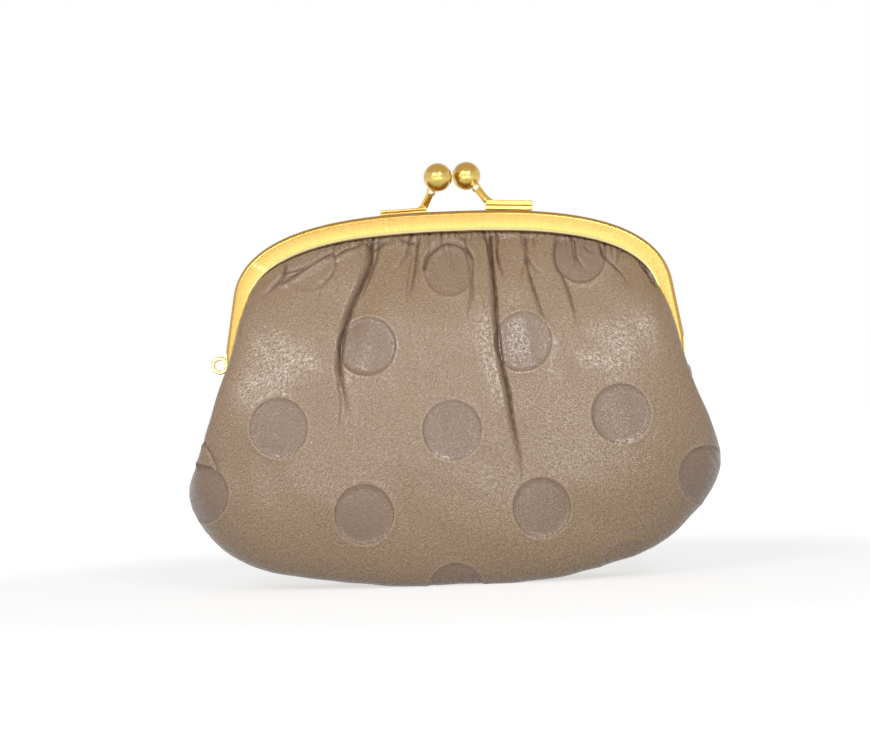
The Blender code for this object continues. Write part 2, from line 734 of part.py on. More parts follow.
def pouch_column(u, inset, hang, folds):
    """One column of a pouch skin as (x, y, z), from the channel down to the bottom seam."""
    point, inward = ARCH.at(u)
    edge = SHEET + CHANNEL_GAP + (HINGE_EDGE_DEPTH - SHEET - CHANNEL_GAP) * abs(u)
    lip = max(face_width(point.y), edge) + LIP_CLEARANCE
    column = []
    for share in CHANNEL_ROW_SHARES:
        place_in = point + inward * (edge + (lip - edge) * share)
        column.append((place_in.x, LEATHER_Y - inset, place_in.y))
    top = point + inward * lip
    seam, seam_inward = SEAM.at(u)
    seam = seam + seam_inward * inset
    under = base_depth(u)
    edge_power = MIDDLE_EDGE_POWER + (SIDE_EDGE_POWER - MIDDLE_EDGE_POWER) * abs(u)
    for share in DRAPE_ROW_SHARES:
        swell = 1.0 - (1.0 - share) ** SWELL_POWER
        full = LEATHER_Y + (belly(u) - LEATHER_Y) * swell
        corner = math.sqrt(max(1.0 - share**edge_power, 0.0))
        y = under + (full - under) * corner - hang(u, share, folds)
        here = top.lerp(seam, share)
        column.append((here.x, max(y - inset, SEAM_FACE), here.y))
    for share in BASE_ROW_SHARES:
        y = SEAM_FACE + (under - SEAM_FACE) * share
        column.append((seam.x, max(y - inset * share, SEAM_FACE), seam.y))
    return column


def pouch_panel(name, side, outer_inset, thickness, columns, hang, folds, look):
    """A front or rear pouch panel: two skins a thickness apart, closed round their edge."""
    rows = len(CHANNEL_ROW_SHARES) + len(DRAPE_ROW_SHARES) + len(BASE_ROW_SHARES)
    points = []
    for inset in (outer_inset, outer_inset + thickness):
        for step in range(columns):
            even = -1.0 + 2.0 * step / (columns - 1)
            u = even * (MIDDLE_SPACING_SHARE + (1.0 - MIDDLE_SPACING_SHARE) * even**2)
            for x, y, z in pouch_column(u, inset, hang, folds):
                points.append((x, side * y, z))
    skin = columns * rows

    def index(layer, column, row):
        return layer * skin + column * rows + row

    faces = []
    for column in range(columns - 1):
        for row in range(rows - 1):
            outer = [index(0, column, row), index(0, column, row + 1)]
            outer += [index(0, column + 1, row + 1), index(0, column + 1, row)]
            faces.append(outer)
            faces.append([corner + skin for corner in reversed(outer)])
    ring = [(0, row) for row in range(rows - 1)]
    ring += [(column, rows - 1) for column in range(columns - 1)]
    ring += [(columns - 1, row) for row in range(rows - 1, 0, -1)]
    ring += [(column, 0) for column in range(columns - 1, 0, -1)]
    for here, there in zip(ring, ring[1:] + ring[:1]):
        faces.append([index(0, *there), index(0, *here), index(1, *here), index(1, *there)])
    if side > 0:
        faces = [face[::-1] for face in faces]
    panel = from_points(name, points, faces)
    smooth(panel)
    return place(panel, purse, look)


def paper_cord(name, side):
    """The paper cord that lies in the bottom of a channel, short of the hinges."""
    depth = SHEET + CHANNEL_GAP + PAPER_CORD_RADIUS
    stop = 1.0 - (PAPER_CORD_STOP + LEG_FOOT_DROP) / ARCH.lengths[-1]
    points = []
    for step in range(CORD_POINTS):
        u = stop * (-1.0 + 2.0 * step / (CORD_POINTS - 1))
        point, inward = ARCH.at(u)
        points.append((point.x + inward.x * depth, side * PAPER_CORD_Y, point.y + inward.y * depth))
    cord = tube(name, points, PAPER_CORD_RADIUS, bevel_resolution=1)
    smooth(cord)
    return place(cord, purse, KRAFT_PAPER)


for half, side, folds in (("front", -1, FRONT_FOLD_SHARES), ("rear", 1, REAR_FOLD_SHARES)):
    frame_half(half + "_frame", side)
    pouch_panel(half + "_leather_panel", side, 0.0, LEATHER, POUCH_COLUMNS, folded_in, folds, TAUPE_LEATHER)
    lining_inset = LEATHER + LAYER_GAP
    pouch_panel(half + "_lining", side, lining_inset, LINING, LINING_COLUMNS, hung_loose, folds, LINING_CLOTH)
    paper_cord(half + "_frame_cord", side)
knob("front", -1, 1, FRONT_BALL_RISE, FRONT_PLATE_START, FRONT_PLATE_THICKNESS, FRONT_FOOT_THICKNESS)
knob("rear", 1, -1, REAR_BALL_RISE, REAR_PLATE_START, REAR_PLATE_THICKNESS, REAR_FOOT_THICKNESS)
hinge_rivet()
eye_rivet()
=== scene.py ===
"""Looks of the kiss lock purse: gathered taupe leather with pressed dots in a brushed gold frame.

Metres, in the frame of the CAD model: the purse faces -Y and stands on z = 0.
Folds and outlines that were read off the photograph are given in millimetres.
"""

import json
import math
from typing import NamedTuple

import bmesh
import bpy
import numpy as np
from mathutils import Matrix, Vector
from mathutils.geometry import interpolate_bezier


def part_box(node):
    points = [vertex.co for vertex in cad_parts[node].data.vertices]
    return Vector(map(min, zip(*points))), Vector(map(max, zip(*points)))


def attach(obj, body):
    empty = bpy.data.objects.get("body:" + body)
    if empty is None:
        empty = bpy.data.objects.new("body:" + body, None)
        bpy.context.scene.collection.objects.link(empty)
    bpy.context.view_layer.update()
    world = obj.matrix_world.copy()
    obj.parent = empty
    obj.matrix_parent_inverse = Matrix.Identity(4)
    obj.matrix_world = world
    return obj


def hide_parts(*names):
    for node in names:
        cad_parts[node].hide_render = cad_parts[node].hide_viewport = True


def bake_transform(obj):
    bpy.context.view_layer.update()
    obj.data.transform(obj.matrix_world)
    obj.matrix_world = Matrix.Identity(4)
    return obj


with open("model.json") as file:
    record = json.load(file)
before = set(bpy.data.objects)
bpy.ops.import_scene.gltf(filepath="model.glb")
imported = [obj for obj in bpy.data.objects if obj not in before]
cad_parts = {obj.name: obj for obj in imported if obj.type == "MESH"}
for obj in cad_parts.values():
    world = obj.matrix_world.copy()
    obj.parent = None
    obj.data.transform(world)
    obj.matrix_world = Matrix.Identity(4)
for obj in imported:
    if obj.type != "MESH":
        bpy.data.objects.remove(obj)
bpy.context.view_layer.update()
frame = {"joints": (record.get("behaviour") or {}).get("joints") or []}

MM = 0.001

# Frame arch, as in the CAD model
HINGE_HEIGHT = frame["joints"][0]["pos_m"][2]
CROWN_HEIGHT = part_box("front_frame")[1].z
FRAME_HALF_WIDTH = 0.0592
ARCH_RISE = CROWN_HEIGHT - HINGE_HEIGHT
LEG_FOOT_DROP = 0.0010
LEG_STRAIGHT = 0.0035
LEG_HEIGHT = 0.0176
LEG_LEAN = 0.00245
SHOULDER_HANDLE_SHARE = 1.0
CROWN_HANDLE_SHARE = 0.32

# Frame channel
SHEET = 0.0006
HALF_DEPTH = 0.0055
HALVES_GAP = 0.0003
CROWN_FACE_WIDTH = 0.0054
HINGE_FACE_WIDTH = 0.0015
FACE_TAPER_POWER = 2.4
FACE_BULGE = 0.00025
FRONT_BEND_RADIUS = 0.0011
MATING_BEND_RADIUS = 0.0008
MATING_WALL_SHARE = 0.8
LEAST_MATING_WALL = 0.0010
LIP_REACH = 0.0010
LIP_ROUND = 0.00042
MATING_FACE = HALVES_GAP / 2
FRONT_FACE = MATING_FACE + HALF_DEPTH

# Hinge ears and rivets
EAR_RADIUS = 0.0026
EAR_CLEARANCE = 0.0003
EAR_SET_IN = 0.00005
EAR_EDGE_MARGIN = 0.0007
EAR_ROOT_HEIGHT = 0.0030
INNER_EAR_HEIGHT = 0.0085
RIVET_RADIUS = 0.0008
RIVET_HOLE_RADIUS = 0.00105
RIVET_HEAD_RADIUS = 0.0017
RIVET_HEAD_HEIGHT = 0.00055
RIVET_HEAD_GAP = 0.00015
OUTER_EAR_FACE = FRAME_HALF_WIDTH - EAR_SET_IN
OUTER_EAR_BACK = OUTER_EAR_FACE - SHEET
INNER_EAR_FACE = OUTER_EAR_BACK - EAR_CLEARANCE
INNER_EAR_BACK = INNER_EAR_FACE - SHEET

# Strap eye
EYE_RADIUS = 0.00235
EYE_HOLE_RADIUS = 0.0013
EYE_THICKNESS = 0.0015
EYE_EDGE_ROUND = 0.0003
EYE_ROOT_FLAT = 0.0019
EYE_COLLAR_RADIUS = 0.00115

# Ball lock
LOCK_OFFSET = 0.0009
FRONT_PLATE_START = 0.0083
REAR_PLATE_START = 0.0069
PLATE_LENGTH = 0.0121
PLATE_WIDTH = 0.0036
FRONT_PLATE_THICKNESS = 0.0011
REAR_PLATE_THICKNESS = 0.0006
PLATE_SEAT_GAP = 0.0001
FOOT_WIDTH = 0.0030
FRONT_FOOT_THICKNESS = 0.0013
REAR_FOOT_THICKNESS = 0.0007
LOCK_EDGE_ROUND = 0.00025
ARM_RADIUS = 0.0010
ARM_FOOT_OVERLAP = 0.0022
KNEE_INSET = 0.0005
KNEE_REACH = 0.0010
KNEE_HANDLE_SHARE = 0.6
COLLAR_RADIUS = 0.0013
COLLAR_LENGTH = 0.0016
COLLAR_BALL_GAP = 0.0002
SOCKET_DEPTH = 0.0013
SOCKET_CLEARANCE = 0.0001
SOLDER_LENGTH = 0.0020
BRAZE_VOXEL = 0.0001

# Pouch
POUCH_HALF_DEPTH = 0.0205
BASE_HALF_DEPTH = 0.0110
SEAM_GAP = 0.00002
SEAM_FACE = SEAM_GAP / 2
SWELL_POWER = 3.2
BELLY_SPREAD_POWER = 2.6
BASE_SPREAD_POWER = 4.0
MIDDLE_EDGE_POWER = 6.0
SIDE_EDGE_POWER = 3.0
BASE_TILT = 0.07
LEATHER = 0.0010
LINING = 0.0004
LAYER_GAP = 0.0003
CHANNEL_GAP = 0.0003
LIP_CLEARANCE = 0.0005
HINGE_EDGE_DEPTH = 0.0013
LEATHER_Y = FRONT_FACE - FACE_BULGE - SHEET - CHANNEL_GAP
PAPER_CORD_RADIUS = 0.00075
PAPER_CORD_STOP = 0.0096
PAPER_CORD_TURNS = 38
PAPER_CORD_GROOVE = 0.3
PAPER_CORD_Y = MATING_FACE + SHEET + CHANNEL_GAP + PAPER_CORD_RADIUS

# The pouch outline of the photograph, from the middle of the base to the hinge: (out, up) in millimetres
LEFT_SEAM_KNOTS = (
    (0, 0), (14, 0.2), (26, 1.05), (37, 2.5), (48.4, 4.6), (58.0, 8.2), (65.3, 14.1), (69.8, 21.4),
    (70.3, 27.3), (67.5, 32.8), (63.7, 38.0), (61.4, 44.5), (59.0, 53.3),
)
RIGHT_SEAM_KNOTS = (
    (0, 0), (14, 0.2), (26, 1.25), (38.2, 4.0), (46.2, 6.3), (53.9, 10.2), (62.2, 17.7), (66.8, 24.8),
    (67.7, 30.6), (65.5, 37.4), (62.3, 44.5), (61.0, 53.3),
)

# How far the sides draw in between frame and belly. The peak scales share**2 * (1 - share) to 1
LEFT_WAIST = 0.0019
RIGHT_WAIST = 0.0011
WAIST_CHORD = 0.040
WAIST_PEAK = 6.75

# Grids
ARCH_STEPS = 160
FACE_STEPS = 12
BEND_STEPS = 7
LIP_STEPS = 6
EAR_STEPS = 48
ROUND_SIDES = 48
DOME_STEPS = 10
EYE_SIDES = 72
EYE_CORNER_STEPS = 5
ARM_SIDES = 28
ARM_STEPS = 60
KNEE_STEPS = 14
BALL_SIDES = 96
BALL_STEPS = 64
CORD_SIDES = 20
CORD_STEPS = 420
PANEL_COLUMNS = 475
PANEL_DRAPE_ROWS = 174
REAR_COLUMNS = 337
REAR_DRAPE_ROWS = 138
LINING_COLUMNS = 121
LINING_ROWS = 60
CHANNEL_ROW_SHARES = (0.0, 0.55, 0.85, 1.0)
CHANNEL_ROWS = len(CHANNEL_ROW_SHARES)
BASE_ROWS = 8
INNER_SKIN_STEP = 3
MIDDLE_SPACING_SHARE = 0.8
DRAPE_SPACINGS = ((0.0, 0.34), (0.22, 0.38), (0.4, 0.75), (0.88, 0.8), (0.97, 0.35), (1.0, 0.03))

# Places on the cut patterns, counted in tenths of a metre
LAY_UNITS = 10


def smoothstep(low, high, value):
    """0 below low, 1 above high and a smooth rise between them."""
    share = np.clip((value - low) / (high - low), 0.0, 1.0)
    return share * share * (3.0 - 2.0 * share)


def smooth_line(knots, steps):
    """Points along a smooth line through a few knots."""
    knots = np.array(knots, float)
    ends = np.vstack((2 * knots[0] - knots[1], knots, 2 * knots[-1] - knots[-2]))
    points = [knots[0]]
    for before, here, there, after in zip(ends, ends[1:], ends[2:], ends[3:]):
        for step in range(1, steps + 1):
            t = step / steps
            straight = 2 * here + (there - before) * t
            turn = (2 * before - 5 * here + 4 * there - after) * t**2
            close = (3 * here - before - 3 * there + after) * t**3
            points.append((straight + turn + close) / 2)
    return np.array(points)


def measured(points):
    """The length of each step of a line, and how far along it each point lies."""
    steps = np.linalg.norm(np.diff(points, axis=0), axis=1)
    return steps, np.concatenate(([0.0], np.cumsum(steps)))


class Outline:
    """A line in the XZ plane with a right and a left arm, read by the share of each arm's length."""

    def __init__(self, right, left, turn):
        self.arms = {1.0: self.arm(right), -1.0: self.arm(left)}
        self.turn = turn

    def arm(self, points):
        """An arm's lengths, points and directions. Both arms are given with x outwards."""
        points = np.array(points, float)
        lengths = measured(points)[1]
        directions = np.gradient(points, lengths, axis=0)
        directions[0] = (1.0, 0.0)
        return lengths, points, directions

    def at(self, u):
        """The places and the inward directions at shares u, from -1 on the left to 1 on the right."""
        place = np.empty((u.size, 2))
        inward = np.empty((u.size, 2))
        for side, (lengths, points, directions) in self.arms.items():
            chosen = u >= 0 if side > 0 else u < 0
            along = np.abs(u[chosen]) * lengths[-1]
            across = np.column_stack([np.interp(along, lengths, directions[:, axis]) for axis in (0, 1)])
            across /= np.linalg.norm(across, axis=1)[:, None]
            place[chosen, 0] = side * np.interp(along, lengths, points[:, 0])
            place[chosen, 1] = np.interp(along, lengths, points[:, 1])
            inward[chosen, 0] = -side * self.turn * across[:, 1]
            inward[chosen, 1] = self.turn * across[:, 0]
        return place, inward


def curve(start, start_handle, end_handle, end, steps):
    """Points on a cubic curve in the XZ plane, without the first."""
    knots = [Vector((x, 0.0, z)) for x, z in (start, start_handle, end_handle, end)]
    return [(point.x, point.z) for point in interpolate_bezier(*knots, steps)[1:]]


def arch_outline():
    """The outer outline of the frame: crown, shoulder, leaning leg and straight foot."""
    leg_top = Vector((FRAME_HALF_WIDTH - LEG_LEAN, HINGE_HEIGHT + LEG_HEIGHT))
    leg_knee = Vector((FRAME_HALF_WIDTH, HINGE_HEIGHT + LEG_STRAIGHT))
    lean = (leg_top - leg_knee).normalized()
    shoulder = leg_top + lean * (ARCH_RISE - LEG_HEIGHT) * SHOULDER_HANDLE_SHARE
    crown = (0.0, CROWN_HEIGHT)
    crown_handle = (leg_top.x * CROWN_HANDLE_SHARE, CROWN_HEIGHT)
    points = [crown] + curve(crown, crown_handle, shoulder, leg_top, ARCH_STEPS)
    points.append(tuple(leg_knee))
    points.append((FRAME_HALF_WIDTH, HINGE_HEIGHT - LEG_FOOT_DROP))
    return Outline(points, points, -1.0)


ARCH = arch_outline()
SEAM = Outline(smooth_line(RIGHT_SEAM_KNOTS, 24) * MM, smooth_line(LEFT_SEAM_KNOTS, 24) * MM, 1.0)
ARCH_LENGTH = ARCH.arms[1.0][0][-1]


def face_width(height):
    """The width of the frame's face at a height: widest at the crown, least at the hinge."""
    above = np.maximum(height - HINGE_HEIGHT, 0.0) / ARCH_RISE
    growth = 1.0 - np.maximum(1.0 - above, 0.0) ** FACE_TAPER_POWER
    return HINGE_FACE_WIDTH + (CROWN_FACE_WIDTH - HINGE_FACE_WIDTH) * growth


# Meshes

def shown(name, data):
    """A new object in the scene."""
    obj = bpy.data.objects.new(name, data)
    bpy.context.scene.collection.objects.link(obj)
    return obj


def piece_from(name, points, faces, uvs=None):
    """A smooth mesh object from points and faces, with one UV place per point if given."""
    mesh = bpy.data.meshes.new(name)
    mesh.from_pydata([tuple(point) for point in points], [], faces)
    if uvs is not None:
        corners = np.empty(len(mesh.loops), int)
        mesh.loops.foreach_get("vertex_index", corners)
        layer = mesh.uv_layers.new(name="lay")
        layer.data.foreach_set("uv", np.asarray(uvs, np.float32)[corners].ravel())
    mesh.shade_smooth()
    mesh.update()
    return shown(name, mesh)


def note(obj, name, values):
    """Keeps one number per point on a mesh, for its material to read."""
    kept = obj.data.attributes.new(name, "FLOAT", "POINT")
    kept.data.foreach_set("value", np.asarray(values, np.float32).ravel())


def loft_faces(stations, ring, closed_ends=True):
    """Faces between rings of points, and a face at each end."""
    faces = []
    for station in range(stations - 1):
        first = station * ring
        for step in range(ring):
            there = (step + 1) % ring
            faces.append((first + step, first + there, first + ring + there, first + ring + step))
    if closed_ends:
        faces.append(tuple(range(ring))[::-1])
        faces.append(tuple(range((stations - 1) * ring, stations * ring)))
    return faces


def swept(name, path, radii, sides, lobes=0, lobe_depth=0.0, turns=0.0):
    """A round or lobed and twisted bar along a path, with closed ends."""
    path = np.array([tuple(point) for point in path], float)
    along = np.gradient(path, axis=0)
    along /= np.linalg.norm(along, axis=1)[:, None]
    side = np.cross(along, (0.0, 1.0, 0.0))
    side /= np.linalg.norm(side, axis=1)[:, None]
    up = np.cross(side, along)
    lengths = measured(path)[1]
    points = []
    uvs = []
    for index in range(len(path)):
        twist = 2 * math.pi * turns * index / (len(path) - 1)
        for step in range(sides):
            angle = 2 * math.pi * step / sides
            reach = radii[index] * (1.0 - lobe_depth * (0.5 - 0.5 * math.cos(lobes * (angle - twist))))
            offset = side[index] * math.cos(angle) + up[index] * math.sin(angle)
            points.append(path[index] + offset * reach)
            uvs.append((lengths[index] * LAY_UNITS, step / sides * 0.05))
    return outward(piece_from(name, points, loft_faces(len(path), sides), uvs))


def outward(obj, weld=False):
    """Turns all faces of a closed mesh outwards, and first joins points that coincide if asked."""
    shape = bmesh.new()
    shape.from_mesh(obj.data)
    if weld:
        bmesh.ops.remove_doubles(shape, verts=shape.verts, dist=1e-7)
        bmesh.ops.dissolve_degenerate(shape, edges=shape.edges, dist=1e-8)
    bmesh.ops.recalc_face_normals(shape, faces=shape.faces)
    shape.to_mesh(obj.data)
    shape.free()
    return obj


def turned(name, profile, place, axis, sides):
    """A solid turned about an axis through a place, from (radius, along) pairs."""
    points = []
    uvs = []
    for radius, along in profile:
        for step in range(sides):
            angle = 2 * math.pi * step / sides
            points.append((radius * math.cos(angle), radius * math.sin(angle), along))
            uvs.append((angle * 0.04, along * LAY_UNITS))
    obj = outward(piece_from(name, points, loft_faces(len(profile), sides), uvs), weld=True)
    turn = Vector(axis).to_track_quat("Z", "Y").to_matrix().to_4x4()
    obj.data.transform(Matrix.Translation(Vector(place)) @ turn)
    return obj


def object_of(name, shape):
    """A bmesh as an object in the scene."""
    mesh = bpy.data.meshes.new(name)
    shape.to_mesh(mesh)
    shape.free()
    return shown(name, mesh)


def block(name, size, edge_round):
    """A block with rounded edges about its own middle."""
    shape = bmesh.new()
    bmesh.ops.create_cube(shape, size=1.0)
    bmesh.ops.scale(shape, vec=size, verts=shape.verts)
    bmesh.ops.bevel(shape, geom=shape.edges[:], offset=edge_round, segments=3, profile=0.5, affect="EDGES")
    obj = object_of(name, shape)
    obj.data.shade_smooth()
    return obj


def merged(name, objects):
    """Several meshes as one object, in place."""
    shape = bmesh.new()
    for obj in objects:
        part = obj.data.copy()
        part.transform(obj.matrix_world)
        shape.from_mesh(part)
        bpy.data.objects.remove(obj, do_unlink=True)
    return object_of(name, shape)


def applied(obj):
    """The same object with its modifiers worked into its mesh."""
    graph = bpy.context.evaluated_depsgraph_get()
    mesh = bpy.data.meshes.new_from_object(obj.evaluated_get(graph))
    obj.modifiers.clear()
    obj.data = mesh
    return obj


def cut_or_join(obj, operation, other):
    """An exact Boolean with another mesh, which is then removed."""
    step = obj.modifiers.new(operation.lower(), "BOOLEAN")
    step.operation = operation
    step.solver = "EXACT"
    step.object = other
    applied(obj)
    bpy.data.objects.remove(other, do_unlink=True)


# Leather relief, read off the photograph

class Fold(NamedTuple):
    """A crease in the leather: its line from the frame down, and its form in millimetres.

    The leather rolls over the crease on one side, 1 for the right and -1 for the left, and falls
    into it gently from the other. The fade is the share of the line where it starts to die out.
    """

    line: tuple
    depth: float
    crease: float
    valley: float
    spread: float
    roll: float
    roll_side: float
    fade: float = 0.55


FRONT_FOLDS = (
    # The deep fold left of the middle, with a lit roll on its left
    Fold(((-20.4, 93), (-20.7, 84), (-22.4, 79.5), (-26.2, 71.8), (-28.8, 63.4), (-29.5, 56), (-28.2, 48.5),
          (-27.5, 42.5), (-28.7, 37)), 1.15, 0.5, 1.5, 5.2, 0.6, -1),
    Fold(((-18.2, 93), (-18.9, 87), (-20.4, 82.2), (-22.2, 77.8), (-25.0, 72.4)),
         0.5, 0.3, 0.2, 1.6, 0.1, 1),
    Fold(((-30.0, 52.5), (-29.6, 47.5), (-30.2, 44.5), (-30.1, 40)), 0.42, 0.3, 0.1, 1.4, 0.12, 1, 0.4),
    # The deep fold right of the middle, with its three short companions
    Fold(((10.2, 93), (10.3, 83), (10.8, 74), (10.9, 67), (11.6, 57.5), (13.1, 49), (13.9, 41.5), (15.4, 33),
          (15.8, 26), (17, 21)), 1.2, 0.48, 1.5, 5.4, 0.6, -1, 0.6),
    Fold(((11.8, 93), (11.6, 84.5), (12.5, 80.2), (13.6, 76.5)), 0.75, 0.32, 0.2, 1.4, 0.15, 1),
    Fold(((6.6, 92), (9.1, 87.4), (9.5, 84.8), (10.2, 81.5)), 0.5, 0.3, 0.1, 1.2, 0.1, -1, 0.7),
    Fold(((9.0, 91), (9.6, 86), (10.3, 79)), 0.4, 0.28, 0.1, 1.0, 0.1, -1, 0.7),
    # The pressed dot under the crown, puckered up at its top
    Fold(((-7.3, 81.0), (-6.0, 84.3), (-2.8, 86.8), (-0.4, 87.3), (2.2, 86.6), (4.5, 84.4), (6.0, 80.8)),
         0.75, 0.36, 0.2, 1.5, 0.25, -1, 0.8),
    Fold(((3.6, 92), (3.7, 84.5), (4.5, 79), (4.4, 74), (3.5, 70), (3.8, 67), (3.7, 62)),
         0.5, 0.3, 0.3, 2.2, 0.15, 1),
    Fold(((5.0, 82), (5.1, 76), (4.3, 70.5)), 0.3, 0.26, 0.0, 1.0, 0.08, 1),
    Fold(((-0.6, 87), (0.2, 82.5), (1.1, 77.5)), 0.22, 0.35, 0.0, 1.0, 0.08, -1),
    # Left of that dot
    Fold(((-7.4, 93), (-8.9, 86.3), (-9.4, 82.3), (-10.2, 78), (-11.9, 71.5)),
         0.7, 0.33, 0.5, 3.0, 0.25, 1),
    Fold(((-9.7, 92), (-11.3, 85.6), (-12.4, 83.5), (-14.6, 81.2), (-17.4, 79.5)),
         0.42, 0.34, 0.2, 1.8, 0.15, -1),
    Fold(((-10.2, 84), (-11.3, 79), (-11.7, 75), (-12.1, 71)), 0.3, 0.28, 0.0, 1.0, 0.1, -1),
    Fold(((-20.0, 87.0), (-16.9, 88.6), (-13.2, 89.2), (-11.7, 88.3), (-8.9, 88.0)),
         0.7, 0.36, 0.0, 1.2, 0.2, -1, 0.9),
    # Right of the deep fold
    Fold(((19.4, 93), (19.2, 83.1), (19.7, 79.1), (20.8, 74.6), (22.4, 69), (24.4, 61.5)),
         0.7, 0.34, 0.6, 3.2, 0.25, -1),
    Fold(((19.2, 83.0), (20.8, 80.4), (22.9, 78.4)), 0.45, 0.32, 0.0, 1.0, 0.1, 1),
    Fold(((18.9, 82.6), (18.1, 80.0), (17.6, 76.5)), 0.3, 0.3, 0.0, 1.0, 0.05, -1),
    Fold(((18.0, 92), (18.2, 88), (18.4, 84.5)), 0.4, 0.28, 0.0, 1.0, 0.1, -1),
    Fold(((21.3, 92), (21.2, 88), (21.4, 84)), 0.35, 0.28, 0.0, 1.0, 0.1, 1),
    Fold(((29.0, 92), (27.0, 86.5), (26.4, 83.3), (26.8, 80.4), (28.1, 78), (29.5, 74.3), (30.6, 69),
          (31.6, 62)), 0.7, 0.34, 0.55, 3.2, 0.25, -1),
    Fold(((31.6, 92), (31.5, 86), (31.6, 83), (32.7, 81.2), (34.9, 77.6)),
         0.55, 0.32, 0.2, 1.8, 0.15, 1),
    Fold(((35.4, 91), (38.1, 85.8), (38.8, 82.9), (40.6, 80.7), (43.1, 78), (45.6, 73.2)),
         0.75, 0.34, 0.4, 2.6, 0.25, -1),
    Fold(((33.8, 85.4), (35.4, 83.9), (37.0, 83.7)), 0.35, 0.32, 0.0, 1.0, 0.1, -1),
    # The rolls under the left shoulder of the frame
    Fold(((-43.6, 86.5), (-42.7, 83), (-42.9, 81.6), (-43.8, 79.6), (-46.2, 77.4), (-49.4, 74.4)),
         0.7, 0.36, 0.3, 2.0, 0.2, -1),
    Fold(((-43.4, 79.0), (-40.3, 80.6), (-37.9, 81.9), (-34.9, 83.6), (-31.2, 85.6), (-29.6, 84.8)),
         0.8, 0.36, 0.3, 1.8, 0.35, -1, 0.9),
    Fold(((-42.4, 81.4), (-38.6, 82.2), (-35.4, 83.3), (-31.8, 85.2)),
         0.55, 0.32, 0.0, 1.0, 0.3, -1, 0.8),
    Fold(((-29.9, 84.9), (-27.4, 86.2), (-24.7, 87.1), (-22.4, 88.3), (-20.9, 87.2)),
         0.75, 0.36, 0.0, 1.4, 0.3, -1, 0.9),
    Fold(((-29.9, 84.6), (-29.9, 82.3), (-31.3, 79.8), (-33.5, 78), (-35.3, 77.2)),
         0.4, 0.32, 0.1, 1.4, 0.15, -1),
    Fold(((-33.3, 78), (-34.7, 74.4)), 0.22, 0.3, 0.0, 1.0, 0.05, -1),
    # The gap under the frame's right shoulder
    Fold(((42.4, 86.4), (45.2, 84.0), (48.5, 80.2), (50.6, 76.6), (52.0, 73.2)),
         2.6, 0.4, 0.3, 1.6, 0.0, 1, 0.85),
    # Pinches at the left and right seam
    Fold(((-64.4, 38.6), (-62.8, 35.6), (-62.0, 33.0), (-60.0, 29.6)), 0.45, 0.34, 0.2, 1.6, 0.1, -1),
    Fold(((-62.0, 33.0), (-64.0, 32.4), (-67.5, 33.0)), 0.3, 0.34, 0.1, 1.4, 0.1, 1, 0.8),
    Fold(((66.5, 28), (64.2, 31), (62.6, 35)), 0.15, 0.4, 0.1, 2.0, 0.05, 1),
)
FRONT_DOTS = (
    (-37.2, 83.6, 0.25, 1.0), (-0.9, 81.0, 0.6, 0.88), (33.0, 83.2, 0.9, 0.88), (-22.5, 61.8, 1, 1),
    (17.2, 61.5, 1, 0.98), (-45.5, 42.0, 1, 0.98), (-1.7, 39.8, 1, 1), (41.2, 42.3, 1, 1),
    (-66.4, 25.8, 1, 1), (-24.7, 19.5, 1, 1), (20.2, 19.5, 1, 0.98), (62.4, 25.8, 1, 0.95),
    (-2.2, -1.1, 1, 1), (42.5, 2.8, 0.35, 1),
)
REAR_FOLDS = (
    Fold(((-31.0, 92), (-30.6, 82), (-32.5, 70), (-33.2, 58), (-32.0, 44)), 0.9, 0.6, 1.0, 4.0, 0.4, 1),
    Fold(((-19.0, 93), (-18.6, 84), (-19.6, 74), (-19.0, 64)), 0.7, 0.55, 0.5, 2.8, 0.25, -1),
    Fold(((-8.6, 93), (-9.2, 83), (-7.6, 70), (-8.4, 55), (-7.0, 38)), 1.0, 0.6, 1.2, 4.2, 0.45, -1),
    Fold(((-5.8, 93), (-6.4, 84), (-5.6, 77)), 0.5, 0.5, 0.2, 1.4, 0.15, 1),
    Fold(((3.5, 93), (4.4, 85), (3.6, 76), (4.9, 68)), 0.6, 0.5, 0.4, 2.4, 0.2, 1),
    Fold(((16.8, 93), (16.0, 84), (17.6, 72), (18.8, 58), (17.2, 45), (18.0, 34)),
         1.0, 0.6, 1.2, 4.4, 0.45, 1),
    Fold(((27.0, 92), (27.8, 83), (30.2, 73), (31.0, 62)), 0.7, 0.55, 0.5, 3.0, 0.25, -1),
    Fold(((38.0, 89), (40.4, 81), (44.6, 73), (46.2, 66)), 0.7, 0.55, 0.4, 2.6, 0.25, -1),
    Fold(((-42.0, 88), (-43.6, 81), (-47.8, 75), (-50.6, 68)), 0.6, 0.55, 0.4, 2.4, 0.2, 1),
    Fold(((-66.0, 30), (-63.0, 34), (-61.0, 41)), 0.35, 0.6, 0.3, 2.2, 0.15, 1),
    Fold(((67.5, 30), (64.5, 33), (62.6, 39)), 0.35, 0.6, 0.3, 2.2, 0.15, -1),
)
REAR_DOTS = (
    (-45.0, 82.6, 0.7, 0.9), (-12.6, 83.2, 0.7, 0.88), (24.0, 83.0, 0.7, 0.88), (-29.6, 62.0, 1, 1),
    (9.4, 62.4, 1, 1), (47.0, 61.8, 1, 1), (-50.4, 41.0, 1, 1), (-10.6, 41.4, 1, 1), (29.6, 41.0, 1, 1),
    (-30.6, 19.8, 1, 1), (9.6, 20.2, 1, 1), (49.6, 20.0, 1, 1), (-8.6, -1.4, 1, 1), (29.8, 0.4, 1, 1),
)
DOT_RADIUS = 7.45
DOT_DEPTH = 0.30
DOT_EDGE = 0.5
DOT_RIM_HEIGHT = 0.12
DOT_RIM_WIDTH = 0.7
CREASE_SHARE = 0.8
DEPTH_SHARE = 0.8
ROLL_SIDE_SPREAD = 0.42
ROLL_WIDTH = 2.2
LEAST_SHADE_WIDTH = 0.25

